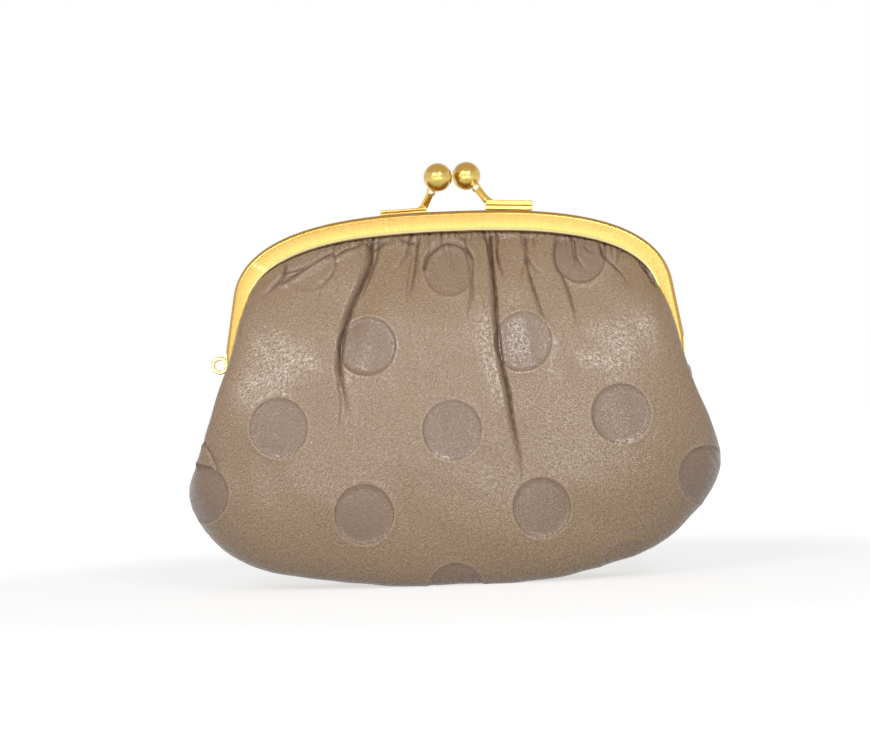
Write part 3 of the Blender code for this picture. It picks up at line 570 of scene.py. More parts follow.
# Gathers under the lip, the seam and the lining, in millimetres
GATHER_MIDDLE = 6.0
GATHER_FULL_REACH = 34.0
GATHER_LAST_REACH = 50.0
FINE_PLEAT_WIDTH = 1.7
FINE_PLEAT_DEPTH = 0.34
WIDE_PLEAT_WIDTH = 4.3
WIDE_PLEAT_DEPTH = 0.5
LIP_ROLL = 1.25
LIP_START = 1.8
LINE_REACH = 3.2
LIP_SHADE_REACH = 0.4
SEAM_DIP = 0.22
SEAM_DIP_WIDTH = 0.9
SEAM_SHADE_WIDTH = 0.7
PUCKER_HEIGHT = 0.06
PUCKER_WIDTH = 3.1
PUCKER_REACH = 2.6
LINING_EASE = 1.1
LINING_WAVE_HEIGHT = 0.5
LINING_WAVE_WIDTH = 7.3
LINING_WAVE_REACH = 26.0
WAVES = 9


def beside(line, x, z):
    """How far places lie beside a line, positive on the right going down it, and how far along it."""
    near = np.full(x.shape, np.inf)
    beside_line = np.zeros(x.shape)
    along_line = np.zeros(x.shape)
    steps, lengths = measured(line)
    for index in range(len(steps)):
        run = (line[index + 1] - line[index]) / steps[index]
        dx = x - line[index, 0]
        dz = z - line[index, 1]
        along = np.clip(dx * run[0] + dz * run[1], 0.0, steps[index])
        gap = np.hypot(dx - run[0] * along, dz - run[1] * along)
        closer = gap < near
        side = np.sign(run[0] * dz - run[1] * dx)
        near[closer] = gap[closer]
        beside_line[closer] = (side * gap)[closer]
        along_line[closer] = ((lengths[index] + along) / lengths[-1])[closer]
    return beside_line, along_line


def creased(folds, x, z):
    """The broad form, the sharp form and the painted crease shade that folds give to places, in millimetres.
    """
    broad = np.zeros(x.shape)
    sharp = np.zeros(x.shape)
    crease_shade = np.zeros(x.shape)
    for fold in folds:
        line = smooth_line(fold.line, 7)
        reach = max(fold.spread * 2.4, fold.crease * 7)
        low = line.min(axis=0) - reach
        high = line.max(axis=0) + reach
        close = (x > low[0]) & (x < high[0]) & (z > low[1]) & (z < high[1])
        if not close.any():
            continue
        side, along = beside(line, x[close], z[close])
        strength = 1.0 - smoothstep(fold.fade, 1.0, along)
        gentle = -side * fold.roll_side
        spread = np.where(gentle > 0, fold.spread, fold.spread * ROLL_SIDE_SPREAD)
        roll_width = fold.crease * ROLL_WIDTH
        broad[close] -= fold.valley * np.exp(-((gentle / spread) ** 2)) * strength
        narrow = fold.crease * CREASE_SHARE
        sharp[close] -= fold.depth * DEPTH_SHARE * np.exp(-((np.abs(side) / narrow) ** 1.4)) * strength
        sharp[close] += fold.roll * np.exp(-(((gentle + roll_width * 1.2) / roll_width) ** 2)) * strength
        # Painted shade: a dark mark along the crease and a fainter one on its gentle side.
        dark = fold.depth * np.exp(-((side / max(fold.crease * 0.6, LEAST_SHADE_WIDTH)) ** 2)) * strength
        dark += fold.depth * 0.16 * np.exp(-((gentle + fold.crease) / (fold.crease * 2.2)) ** 2) * strength
        crease_shade[close] = np.maximum(crease_shade[close], dark)
    return broad, sharp, crease_shade


def nearest_dot(dots, x, z):
    """How far places lie from the middle of the nearest pressed dot, and how strong that dot is.

    A dot is its middle, its strength and the share of its width that the gathers leave it.
    """
    nearest = np.full(x.shape, 10 * DOT_RADIUS)
    strength = np.zeros(x.shape)
    for dot_x, dot_z, pressed_in, width_share in dots:
        away = np.hypot((x - dot_x) / width_share, z - dot_z)
        closer = away < nearest
        nearest[closer] = away[closer]
        strength[closer] = pressed_in
    return nearest, strength


def pressed(out):
    """The height that a pressed dot and its raised rim give at a distance from its middle."""
    inside = 1.0 - smoothstep(DOT_RADIUS - DOT_EDGE, DOT_RADIUS, out)
    rim = np.exp(-(((out - DOT_RADIUS - DOT_RIM_WIDTH * 0.6) / DOT_RIM_WIDTH) ** 2))
    return DOT_RIM_HEIGHT * rim - DOT_DEPTH * inside


def waver(x, z, size, seed):
    """Smooth chance unevenness between about -1 and 1, with hills about a size across."""
    chance = np.random.RandomState(seed)
    total = np.zeros(x.shape)
    for wave in range(WAVES):
        heading = chance.uniform(0, 2 * math.pi)
        pace = 2 * math.pi / (size * chance.uniform(1.3, 2.8))
        shift = chance.uniform(0, 2 * math.pi)
        total += np.sin((x * math.cos(heading) + z * math.sin(heading)) * pace + shift)
    return total / 4.2


def pleats(along, below, seed):
    """Gathers under the frame's lip, as depths: narrow valleys between soft ridges that die out."""
    wander = waver(along, below * 0.45, 8.0, seed)
    patchy = np.clip(0.8 + 0.7 * waver(along, below * 0.0, 6.0, seed + 1), 0.2, 1.5)
    fine = (1.0 - np.abs(np.sin(math.pi * along / FINE_PLEAT_WIDTH + 1.9 * wander))) ** 2.0
    wide = (1.0 - np.abs(np.sin(math.pi * along / WIDE_PLEAT_WIDTH + 2.6 * wander + 0.6))) ** 3.6
    fine = fine * np.exp(-below / (1.5 + 1.6 * patchy)) * (0.5 + 0.5 * patchy)
    wide = wide * np.exp(-below / (2.0 + 2.6 * patchy)) * patchy
    return fine, wide


def soft_form(folds, x, z, seed):
    """The unevenness that leather and lining share, without the sharp creases."""
    broad, sharp, crease_shade = creased(folds, x, z)
    uneven = 0.30 * waver(x, z, 17.0, seed) + 0.10 * waver(x, z, 6.0, seed + 3)
    return broad + uneven, sharp, crease_shade


# Pouch panels

def panel_columns(count):
    """Column shares from the left end to the right, closer together in the middle."""
    even = np.linspace(-1.0, 1.0, count)
    return even * (MIDDLE_SPACING_SHARE + (1.0 - MIDDLE_SPACING_SHARE) * even**2)


def drape_shares(count):
    """Row shares from the lip to the seam, closest together at the lip and at the base's edge."""
    shares, spacings = zip(*DRAPE_SPACINGS)
    fine = np.linspace(0.0, 1.0, 4001)
    rows = np.cumsum(1.0 / np.interp(fine, shares, spacings))
    rows -= rows[0]
    return np.interp(np.linspace(0.0, rows[-1], count + 1), rows, fine)[1:]


def hung(u, inset, drape):
    """One skin of a panel as it hangs: (columns, rows, xyz), y measured out from the middle plane."""
    place, inward = ARCH.at(u)
    edge = SHEET + CHANNEL_GAP + (HINGE_EDGE_DEPTH - SHEET - CHANNEL_GAP) * np.abs(u)
    lip = np.maximum(face_width(place[:, 1]), edge) + LIP_CLEARANCE
    foot, foot_inward = SEAM.at(u)
    spread = np.maximum(1.0 - np.abs(u) ** BELLY_SPREAD_POWER, 0.0)
    belly = LEATHER_Y + (POUCH_HALF_DEPTH - LEATHER_Y) * spread
    widest = np.abs(foot[:, 0]).max()
    middle = np.maximum(1.0 - (np.abs(foot[:, 0]) / widest) ** BASE_SPREAD_POWER, 0.0)
    under = SEAM_FACE + (BASE_HALF_DEPTH - SEAM_FACE) * middle * spread
    edge_power = MIDDLE_EDGE_POWER + (SIDE_EDGE_POWER - MIDDLE_EDGE_POWER) * np.abs(u)
    foot = foot + foot_inward * inset
    top = place + inward * lip[:, None]
    chord = np.linalg.norm(foot - top, axis=1)
    waist = np.where(u < 0, LEFT_WAIST, -RIGHT_WAIST) * smoothstep(0.5, 0.8, np.abs(u))
    waist = waist * np.minimum(chord / WAIST_CHORD, 1.0)
    rows = []
    for share in CHANNEL_ROW_SHARES:
        inside = place + inward * (edge + (lip - edge) * share)[:, None]
        rows.append((inside[:, 0], np.full(u.size, LEATHER_Y - inset), inside[:, 1]))
    for share in drape:
        swell = 1.0 - (1.0 - share) ** SWELL_POWER
        full = LEATHER_Y + (belly - LEATHER_Y) * swell
        corner = np.sqrt(np.maximum(1.0 - share**edge_power, 0.0))
        out = under + (full - under) * corner
        here = top + (foot - top) * share
        here[:, 0] += waist * WAIST_PEAK * share**2 * (1.0 - share)
        here[:, 1] += out * BASE_TILT * share**4
        rows.append((here[:, 0], np.maximum(out - inset, SEAM_FACE), here[:, 1]))
    for step in range(1, BASE_ROWS + 1):
        share = 1.0 - step / BASE_ROWS
        out = SEAM_FACE + (under - SEAM_FACE) * share
        rise = foot[:, 1] + out * BASE_TILT
        rows.append((foot[:, 0], np.maximum(out - inset * share, SEAM_FACE), rise))
    return np.array(rows).transpose(2, 0, 1)


def across_and_down(grid):
    """The cloth lengths across from the middle column and down each column, in metres."""
    across = np.linalg.norm(np.diff(grid, axis=0), axis=2)
    across = np.vstack((np.zeros(grid.shape[1]), np.cumsum(across, axis=0)))
    across -= across[grid.shape[0] // 2]
    down = np.linalg.norm(np.diff(grid, axis=1), axis=2)
    down = np.hstack((np.zeros((grid.shape[0], 1)), np.cumsum(down, axis=1)))
    return across, down


def facing_out(grid):
    """Unit directions out of a skin's outer side."""
    out = np.cross(np.gradient(grid, axis=0), np.gradient(grid, axis=1))
    return out / np.maximum(np.linalg.norm(out, axis=2), 1e-12)[:, :, None]


def skin_faces(columns, rows, first, flip):
    """Quads of a grid of points that starts at a vertex."""
    corner = first + np.arange(columns - 1)[:, None] * rows + np.arange(rows - 1)[None, :]
    corner = corner.ravel()
    faces = np.column_stack((corner, corner + 1, corner + rows + 1, corner + rows))
    return (faces[:, ::-1] if flip else faces).tolist()


def border(columns, rows):
    """The grid places round the edge of a skin, in order."""
    ring = [(0, row) for row in range(rows - 1)]
    ring += [(column, rows - 1) for column in range(columns - 1)]
    ring += [(columns - 1, row) for row in range(rows - 1, 0, -1)]
    ring += [(column, 0) for column in range(columns - 1, 0, -1)]
    return ring


def panel(name, outer, inner, step, side):
    """A closed panel from a fine outer skin and an inner skin with a point for each step-th one."""
    columns, rows = outer.shape[:2]
    inner = inner[::step, ::step]
    few_columns, few_rows = inner.shape[:2]
    first = columns * rows
    points = np.vstack((outer.reshape(-1, 3), inner.reshape(-1, 3)))
    points[:, 1] *= side
    flip = side > 0
    faces = skin_faces(columns, rows, 0, flip) + skin_faces(few_columns, few_rows, first, not flip)
    ring = border(few_columns, few_rows)
    for here, there in zip(ring, ring[1:] + ring[:1]):
        rim = [first + there[0] * few_rows + there[1], first + here[0] * few_rows + here[1]]
        for part in range(step + 1):
            column = here[0] * step + (there[0] - here[0]) * part
            row = here[1] * step + (there[1] - here[1]) * part
            rim.append(column * rows + row)
        faces.append(rim if flip else rim[::-1])
    across, down = across_and_down(outer)
    lay = np.dstack((across, down)) * LAY_UNITS
    lay = np.vstack((lay.reshape(-1, 2), lay[::step, ::step].reshape(-1, 2)))
    return outward(piece_from(name, points, faces, lay))


def spaced_rows(drape_rows, step):
    """The drape rows that make the whole number of rows one more than a multiple of a step."""
    while (CHANNEL_ROWS + drape_rows + BASE_ROWS - 1) % step:
        drape_rows += 1
    return drape_rows


class Hanging:
    """A panel as it hangs: two skins in metres, and where their places lie in millimetres."""

    def __init__(self, columns, drape, inset, thickness):
        self.u = panel_columns(columns)
        self.outer = hung(self.u, inset, drape)
        self.inner = hung(self.u, inset + thickness, drape)
        self.out = facing_out(self.outer)
        self.x = self.outer[:, :, 0] / MM
        self.z = self.outer[:, :, 2] / MM
        across, down = across_and_down(self.outer)
        self.below = (down - down[:, CHANNEL_ROWS - 1][:, None]) / MM
        self.to_seam = (down[:, -1][:, None] - down) / MM
        self.from_lip = smoothstep(0.0, LIP_START, self.below)
        self.along_lip = self.spread((across[:, CHANNEL_ROWS - 1] / MM)[:, None])
        self.along_seam = self.spread((across[:, -1] / MM)[:, None])
        rows = np.concatenate((np.zeros(CHANNEL_ROWS), drape, np.ones(BASE_ROWS)))
        self.shares = self.spread(rows[None, :])

    def spread(self, values):
        """One value per column or per row, for every place."""
        return np.broadcast_to(values, self.x.shape)

    def lift(self, outer_rise, inner_rise):
        """Moves both skins out by heights, and holds them off the middle plane."""
        self.outer = self.outer + self.out * (outer_rise * MM)[:, :, None]
        self.inner = self.inner + self.out * (inner_rise * MM)[:, :, None]
        for skin in (self.outer, self.inner):
            skin[:, :, 1] = np.maximum(skin[:, :, 1], SEAM_FACE)


def leather_panel(name, side, columns, drape_rows, folds, dots, seed):
    """A leather panel with its folds, gathers, pressed dots and seam, and its row shares."""
    drape = drape_shares(spaced_rows(drape_rows, INNER_SKIN_STEP))
    hide = Hanging(columns, drape, 0.0, LEATHER)
    below = hide.below
    to_seam = hide.to_seam
    under_lip = np.maximum(below, 0.0)

    broad, sharp, crease_shade = soft_form(folds, hide.x, hide.z, seed)
    off_middle = np.abs(hide.along_lip - GATHER_MIDDLE)
    gathered = 1.0 - smoothstep(GATHER_FULL_REACH, GATHER_LAST_REACH, off_middle)
    fine, wide = pleats(hide.along_lip, under_lip, seed + 5)
    fine = fine * (0.25 + 0.75 * gathered)
    wide = wide * (0.15 + 0.85 * gathered)
    dot_reach, dot_strength = nearest_dot(dots, hide.x, hide.z)
    seam_dip = -SEAM_DIP * np.exp(-((to_seam / SEAM_DIP_WIDTH) ** 2))
    shift = waver(hide.along_seam, hide.along_seam, 9.0, seed + 7)
    puckers = PUCKER_HEIGHT * np.sin(2 * math.pi * hide.along_seam / PUCKER_WIDTH + shift)
    puckers = puckers * np.exp(-to_seam / PUCKER_REACH) * smoothstep(0.3, 1.4, to_seam)
    seam_reach = 1.2 + 8.0 * smoothstep(0.4, 0.75, np.abs(hide.u))[:, None]
    at_seam = smoothstep(0.0, 1.0, to_seam / seam_reach)
    outer_rise = (broad + sharp + pressed(dot_reach) * dot_strength) * hide.from_lip * at_seam
    outer_rise -= (FINE_PLEAT_DEPTH * fine + WIDE_PLEAT_DEPTH * wide) * smoothstep(-1.5, 0.2, below)
    lip_roll = LIP_ROLL * smoothstep(-0.3, 0.9, below) * smoothstep(0.0, 18.0, to_seam)
    outer_rise += lip_roll
    outer_rise += seam_dip + puckers
    inner_rise = (broad + 0.4 * np.minimum(sharp, 0.0)) * hide.from_lip * smoothstep(0.0, 6.0, to_seam)
    inner_rise += lip_roll
    hide.lift(outer_rise, inner_rise)
    hide.outer[:, :, 2] = np.maximum(hide.outer[:, :, 2], 0.0)

    # Painted shade, kept as the crease attribute: dark marks in the creases, along the seam, under the
    # frame's lip and in the pleat valleys.
    seam_shade = np.exp(-((to_seam / SEAM_SHADE_WIDTH) ** 2)) * 0.8
    lip_shade = (0.1 + 0.3 * gathered) * np.exp(-under_lip / LIP_SHADE_REACH)
    pleat_shade = (0.55 * fine + 0.6 * wide) * gathered + lip_shade
    crease = np.maximum(np.maximum(crease_shade * hide.from_lip, seam_shade), pleat_shade)
    # Painted shade of the fine gather lines under the lip, kept as the gathers attribute.
    lines = (0.2 + 0.8 * gathered) * np.exp(-under_lip / LINE_REACH) * smoothstep(-0.4, 0.3, below)
    obj = panel(name, hide.outer, hide.inner, INNER_SKIN_STEP, side)
    few = hide.shares[::INNER_SKIN_STEP, ::INNER_SKIN_STEP].ravel()
    for label, values, inside in (
        ("crease", crease, 0.0), ("dot_reach", dot_reach, 10 * DOT_RADIUS),
        ("dot_strength", dot_strength, 0.0), ("gathers", lines, 0.0),
        ("flesh_side", np.zeros(hide.x.size), 1.0),
    ):
        note(obj, label, np.concatenate((values.ravel(), np.full(few.size, inside))))
    return obj, np.concatenate((hide.shares.ravel(), few))


def lining_panel(name, side, folds, seed):
    """A lining panel, looser than the leather, with soft folds of its own, and its row shares."""
    cloth = Hanging(LINING_COLUMNS, drape_shares(LINING_ROWS), LEATHER + LAYER_GAP, LINING)
    below = cloth.below
    to_seam = cloth.to_seam
    broad, sharp, crease_shade = soft_form(folds, cloth.x, cloth.z, seed)
    loose = smoothstep(0.0, 9.0, below) * smoothstep(0.0, 7.0, to_seam)
    wander = waver(cloth.along_lip, below * 0.2, 14.0, seed + 40)
    wave = np.sin(2 * math.pi * cloth.along_lip / LINING_WAVE_WIDTH + 2.0 * wander)
    wave = LINING_WAVE_HEIGHT * wave * np.exp(-below / LINING_WAVE_REACH)
    rise = np.minimum(broad, 0.2) * cloth.from_lip * smoothstep(0.0, 6.0, to_seam)
    rise += (0.6 * np.minimum(sharp, 0.0) + wave - LINING_EASE) * loose
    cloth.lift(rise, rise)
    obj = panel(name, cloth.outer, cloth.inner, 1, side)
    shares = cloth.shares.ravel()
    return obj, np.concatenate((shares, shares))


def hang_between(obj, shares):
    """Blends a panel from its frame half to the pouch by its cut pattern.

    A column's lip follows the frame and its seam stays with the pouch, whatever its height, so
    the blend is made while the panel lies flat, one metre long, and the hung form is put back.
    """
    hung_form = np.empty(len(obj.data.vertices) * 3, np.float32)
    obj.data.vertices.foreach_get("co", hung_form)
    flat = np.zeros((len(obj.data.vertices), 3), np.float32)
    flat[:, 2] = shares
    obj.data.vertices.foreach_set("co", flat.ravel())
    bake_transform(obj)
    obj.data.vertices.foreach_set("co", hung_form)
    obj.data.update()


# Frame halves

def channel_ring(width):
    """One half's sheet section as a closed ring of (depth, distance from the middle plane) pairs."""
    bulge = FACE_BULGE * width / CROWN_FACE_WIDTH
    face_y = FRONT_FACE - FACE_BULGE
    lip = min(LIP_REACH, width / 3)
    shares = [1.0 - step / LIP_STEPS for step in range(LIP_STEPS)]
    depths = [width - lip * (1.0 - share) for share in shares]
    for step in range(FACE_STEPS):
        depths.append(width - lip + (FRONT_BEND_RADIUS - width + lip) * step / FACE_STEPS)
    skin = []
    for depth in depths:
        share = (width - depth) / (width - FRONT_BEND_RADIUS)
        skin.append((depth, face_y + bulge * share * (2 - share)))
    quarter = math.pi / 2
    bends = (
        (face_y + bulge - FRONT_BEND_RADIUS, FRONT_BEND_RADIUS, quarter, 0.0),
        (MATING_FACE + MATING_BEND_RADIUS, MATING_BEND_RADIUS, 0.0, -quarter),
    )
    for middle, radius, start, end in bends:
        for step in range(BEND_STEPS + 1):
            angle = start + (end - start) * step / BEND_STEPS
            skin.append((radius - radius * math.cos(angle), middle + radius * math.sin(angle)))
    skin.append((max(width * MATING_WALL_SHARE, LEAST_MATING_WALL), MATING_FACE))
    skin = np.array(skin)
    along = np.gradient(skin, axis=0)
    along /= np.linalg.norm(along, axis=1)[:, None]
    out = np.column_stack((along[:, 1], -along[:, 0]))
    back = skin - out * SHEET
    wall_edge = skin[-1] - out[-1] * SHEET / 2 + along[-1] * SHEET / 4
    lip_edge = back[0] + out[0] * (SHEET - LIP_ROUND) / 2 - along[0] * SHEET / 8
    for step, share in enumerate(shares):
        skin[step, 1] -= LIP_ROUND * (1.0 - math.sqrt(1.0 - share**2)) * lip / LIP_REACH
    return list(skin) + [wall_edge] + list(back[::-1]) + [lip_edge]


def rod(name, radius, start, end):
    """A plain round bar along X, used to cut the frame at its hinges."""
    low, high = sorted((start, end))
    profile = [(0.0, 0.0), (radius, 0.0), (radius, high - low), (0.0, high - low)]
    return turned(name, profile, on_axis(low), (1, 0, 0), ROUND_SIDES)


def on_axis(x):
    """A place on the hinge axis."""
    return (x, 0.0, HINGE_HEIGHT)


def ear(side, outer_face):
    """A flat hinge ear: a round eye on the axis that runs up into the leg."""
    far_edge = FRONT_FACE - EAR_EDGE_MARGIN if side < 0 else EAR_RADIUS
    root = EAR_ROOT_HEIGHT if side < 0 else INNER_EAR_HEIGHT
    near_edge = MATING_FACE + EAR_SET_IN
    foot = -LEG_FOOT_DROP + EAR_SET_IN
    first = math.pi + math.asin(-foot / EAR_RADIUS) if side < 0 else math.pi
    last = 2 * math.pi + math.acos(-near_edge / EAR_RADIUS)
    outline = []
    for step in range(EAR_STEPS + 1):
        angle = first + (last - first) * step / EAR_STEPS
        outline.append((EAR_RADIUS * math.cos(angle), EAR_RADIUS * math.sin(angle)))
    outline += [(-near_edge, root), (-far_edge, root)]
    if side < 0:
        outline.append((-far_edge, foot))
    points = []
    for x in (outer_face, outer_face - math.copysign(SHEET, outer_face)):
        points += [(x, -side * y, HINGE_HEIGHT + z) for y, z in outline]
    return outward(piece_from("ear", points, loft_faces(2, len(outline))))


def frame_half(name, side):
    """A frame half: the bent channel with its two ears and rivet holes."""
    u = np.linspace(-1.0, 1.0, 2 * ARCH_STEPS + 1)
    place, inward = ARCH.at(u)
    points = []
    uvs = []
    for index in range(u.size):
        ring = channel_ring(float(face_width(place[index, 1])))
        round_ring = 0.0
        before = ring[0]
        for depth, y in ring:
            round_ring += math.hypot(depth - before[0], y - before[1])
            before = (depth, y)
            spot = place[index] + inward[index] * depth
            points.append((spot[0], side * y, spot[1]))
            uvs.append((u[index] * ARCH_LENGTH * LAY_UNITS, round_ring * LAY_UNITS))
    half = outward(piece_from(name, points, loft_faces(u.size, len(ring)), uvs))
    if side < 0:
        ear_face = OUTER_EAR_FACE
        clear = (INNER_EAR_BACK - EAR_CLEARANCE, OUTER_EAR_BACK - EAR_SET_IN)
    else:
        ear_face = INNER_EAR_FACE
        clear = (INNER_EAR_FACE + EAR_SET_IN, OUTER_EAR_FACE + RIVET_HEAD_HEIGHT)
    for x_sign in (-1, 1):
        sweep = rod("sweep", EAR_RADIUS + EAR_CLEARANCE, x_sign * clear[0], x_sign * clear[1])
        cut_or_join(half, "DIFFERENCE", sweep)
        cut_or_join(half, "UNION", ear(side, x_sign * ear_face))
        hole_start = x_sign * (INNER_EAR_BACK - SHEET)
        hole_end = x_sign * (OUTER_EAR_FACE + SHEET)
        cut_or_join(half, "DIFFERENCE", rod("hole", RIVET_HOLE_RADIUS, hole_start, hole_end))
    half.data.shade_smooth()
    half.data.set_sharp_from_angle(angle=math.radians(35))
    return half


# Ball lock

def crown_height_at(x):
    """The height of the frame's outer outline at a place across the crown."""
    points = ARCH.arms[1.0][1]
    return float(np.interp(abs(x), points[:ARCH_STEPS, 0], points[:ARCH_STEPS, 1]))


def ball_place(node):
    """The middle and the radius of a lock ball, from its CAD node."""
    low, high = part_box(node)
    radius = (high.x - low.x) / 2
    return Vector(((low.x + high.x) / 2, (low.y + high.y) / 2, high.z - radius)), radius


def arm_path(start, knee, tip):
    """Points along a lock arm: from its foot, round its knee and straight up to its ball."""
    before = knee + (start - knee).normalized() * KNEE_REACH
    after = knee + (tip - knee).normalized() * KNEE_REACH
    before_handle = before.lerp(knee, KNEE_HANDLE_SHARE)
    after_handle = after.lerp(knee, KNEE_HANDLE_SHARE)
    points = [start, start.lerp(before, 0.5)]
    points += interpolate_bezier(before, before_handle, after_handle, after, KNEE_STEPS)
    for step in range(1, ARM_STEPS + 1):
        points.append(after.lerp(tip, step / ARM_STEPS))
    return points


def lock_piece(half, side, x_sign, plate_start, plate_thickness, foot_thickness):
    """A half's lock: its plate, its arm with foot and solder collar, and its turned ball."""
    plate_y = side * (MATING_FACE + HALF_DEPTH / 2)
    inner_x = LOCK_OFFSET + x_sign * plate_start
    outer_x = inner_x + x_sign * PLATE_LENGTH
    inner_z = crown_height_at(inner_x)
    outer_z = crown_height_at(outer_x)
    middle = Vector(((inner_x + outer_x) / 2, plate_y, (inner_z + outer_z) / 2))
    crest = max(crown_height_at(middle.x) - middle.z, 0.0)
    turn = Matrix.Rotation(-math.atan((outer_z - inner_z) / (outer_x - inner_x)), 4, "Y")
    up = turn.to_3x3() @ Vector((0.0, 0.0, 1.0))
    to_middle = turn.to_3x3() @ Vector((-x_sign, 0.0, 0.0))
    plate_lift = crest + PLATE_SEAT_GAP + plate_thickness / 2
    plate = block(half + "_plate", (PLATE_LENGTH, PLATE_WIDTH, plate_thickness), LOCK_EDGE_ROUND)
    plate.data.transform(Matrix.Translation(middle + up * plate_lift) @ turn)

    foot_base = plate_lift + plate_thickness / 2 + PLATE_SEAT_GAP
    foot = block("foot", (PLATE_LENGTH, FOOT_WIDTH, foot_thickness), LOCK_EDGE_ROUND)
    foot.data.transform(Matrix.Translation(middle + up * (foot_base + foot_thickness / 2)) @ turn)
    centre, radius = ball_place(half + "_knob_ball")
    start = middle + up * (foot_base + foot_thickness / 2)
    start += to_middle * (PLATE_LENGTH / 2 - ARM_FOOT_OVERLAP)
    knee = middle + up * (foot_base + ARM_RADIUS) + to_middle * (PLATE_LENGTH / 2 - KNEE_INSET)
    heading = (centre - knee).normalized()
    tip = centre - heading * (radius - SOCKET_DEPTH)
    path = arm_path(start, knee, tip)
    radii = []
    for point in path:
        rounded = min((point - start).length / (knee - start).length, 1.0)
        reach = ((centre - point).length - radius - COLLAR_BALL_GAP) / COLLAR_LENGTH
        swell = math.sin(math.pi * reach) if 0.0 < reach < 1.0 else 0.0
        flat = foot_thickness / 2
        radii.append(flat + (ARM_RADIUS - flat) * rounded + (COLLAR_RADIUS - ARM_RADIUS) * swell)
    arm = merged(half + "_arm", [foot, swept("bar", path, radii, ARM_SIDES)])
    remesh = arm.modifiers.new("one braze", "REMESH")
    remesh.mode = "VOXEL"
    remesh.voxel_size = BRAZE_VOXEL
    relax = arm.modifiers.new("flow", "SMOOTH")
    relax.factor = 0.5
    relax.iterations = 4
    applied(arm)
    arm.data.shade_smooth()
    places = np.array([tuple(vertex.co) for vertex in arm.data.vertices])
    off_ball = np.linalg.norm(places - np.array(centre), axis=1) - radius
    note(arm, "solder", 1.0 - smoothstep(SOLDER_LENGTH * 0.8, SOLDER_LENGTH * 1.2, off_ball))

    neck_radius = ARM_RADIUS + SOCKET_CLEARANCE
    neck = math.pi - math.asin(neck_radius / radius)
    profile = []
    for step in range(BALL_STEPS + 1):
        angle = neck * step / BALL_STEPS
        profile.append((radius * math.sin(angle), -radius * math.cos(angle)))
    mouth = profile[-1][1]
    profile.append((neck_radius, mouth - SOCKET_DEPTH))
    profile.append((0.0, mouth - SOCKET_DEPTH))
    ball = turned(half + "_ball", profile, centre, -heading, BALL_SIDES)
    return plate, arm, ball


# Rivets

def dome(base, radius, height):
    """The profile of a low domed head on a base, from its top to its rim."""
    points = [(0.0, base + height)]
    for step in range(1, DOME_STEPS):
        angle = math.pi / 2 * step / DOME_STEPS
        points.append((radius * math.sin(angle), base + height * math.cos(angle)))
    points += [(radius, base + height * 0.12), (radius * 0.985, base)]
    return points


def rivet_shank(head_base):
    """The shank from a head's underside, and the peened head inside, from outside inwards."""
    profile = [(RIVET_RADIUS, head_base), (RIVET_RADIUS, INNER_EAR_BACK - RIVET_HEAD_GAP)]
    base = INNER_EAR_BACK - RIVET_HEAD_GAP
    for radius, along in dome(0.0, RIVET_HEAD_RADIUS, RIVET_HEAD_HEIGHT)[::-1]:
        profile.append((radius, base - along))
    return profile


def plain_rivet(name):
    """The right hinge rivet with its low domed head."""
    base = OUTER_EAR_FACE + RIVET_HEAD_GAP
    profile = dome(base, RIVET_HEAD_RADIUS, RIVET_HEAD_HEIGHT) + rivet_shank(base)
    rivet = turned(name, profile, on_axis(0.0), (1, 0, 0), ROUND_SIDES)
    rivet.data.set_sharp_from_angle(angle=math.radians(50))
    return rivet


def eye_rivet(name):
    """The left hinge rivet, whose outer end is a flat round eye for a strap."""
    base = OUTER_EAR_FACE + RIVET_HEAD_GAP
    eye_x = base + EYE_ROOT_FLAT
    collar_top = eye_x - EYE_HOLE_RADIUS - EYE_EDGE_ROUND
    collar = [(0.0, collar_top), (EYE_COLLAR_RADIUS * 0.9, collar_top)]
    collar += [(EYE_COLLAR_RADIUS, collar_top - 0.0002), (EYE_COLLAR_RADIUS, base)]
    shank = turned("shank", collar + rivet_shank(base), on_axis(0.0), (-1, 0, 0), ROUND_SIDES)
    half = EYE_THICKNESS / 2
    corner = EYE_EDGE_ROUND
    ring = []
    for radius_end, along_end, start in (
        (EYE_RADIUS - corner, half - corner, 0), (EYE_HOLE_RADIUS + corner, half - corner, 90),
        (EYE_HOLE_RADIUS + corner, corner - half, 180), (EYE_RADIUS - corner, corner - half, 270),
    ):
        for step in range(EYE_CORNER_STEPS + 1):
            angle = math.radians(start + 90 / EYE_CORNER_STEPS * step)
            ring.append((radius_end + corner * math.cos(angle), along_end + corner * math.sin(angle)))
    points = []
    for step in range(EYE_SIDES):
        angle = 2 * math.pi * step / EYE_SIDES
        for radius, along in ring:
            points.append((radius * math.cos(angle) - eye_x, along, radius * math.sin(angle) + HINGE_HEIGHT))
    faces = loft_faces(EYE_SIDES, len(ring), closed_ends=False)
    for step in range(len(ring)):
        there = (step + 1) % len(ring)
        last = (EYE_SIDES - 1) * len(ring)
        faces.append((last + step, last + there, there, step))
    eye = outward(piece_from("eye", points, faces))
    rivet = merged(name, [shank, eye])
    rivet.data.shade_smooth()
    rivet.data.set_sharp_from_angle(angle=math.radians(50))
    return rivet


def paper_cord(name, side):
    """The twisted paper cord that wedges leather and lining in a channel."""
    depth = SHEET + CHANNEL_GAP + PAPER_CORD_RADIUS
    stop = 1.0 - (PAPER_CORD_STOP + LEG_FOOT_DROP) / ARCH_LENGTH
    u = np.linspace(-stop, stop, CORD_STEPS)
    place, inward = ARCH.at(u)
    spots = place + inward * depth
    path = [(spot[0], side * PAPER_CORD_Y, spot[1]) for spot in spots]
    radii = [PAPER_CORD_RADIUS] * len(path)
    return swept(name, path, radii, CORD_SIDES, 2, PAPER_CORD_GROOVE, PAPER_CORD_TURNS)


# Shader node groups

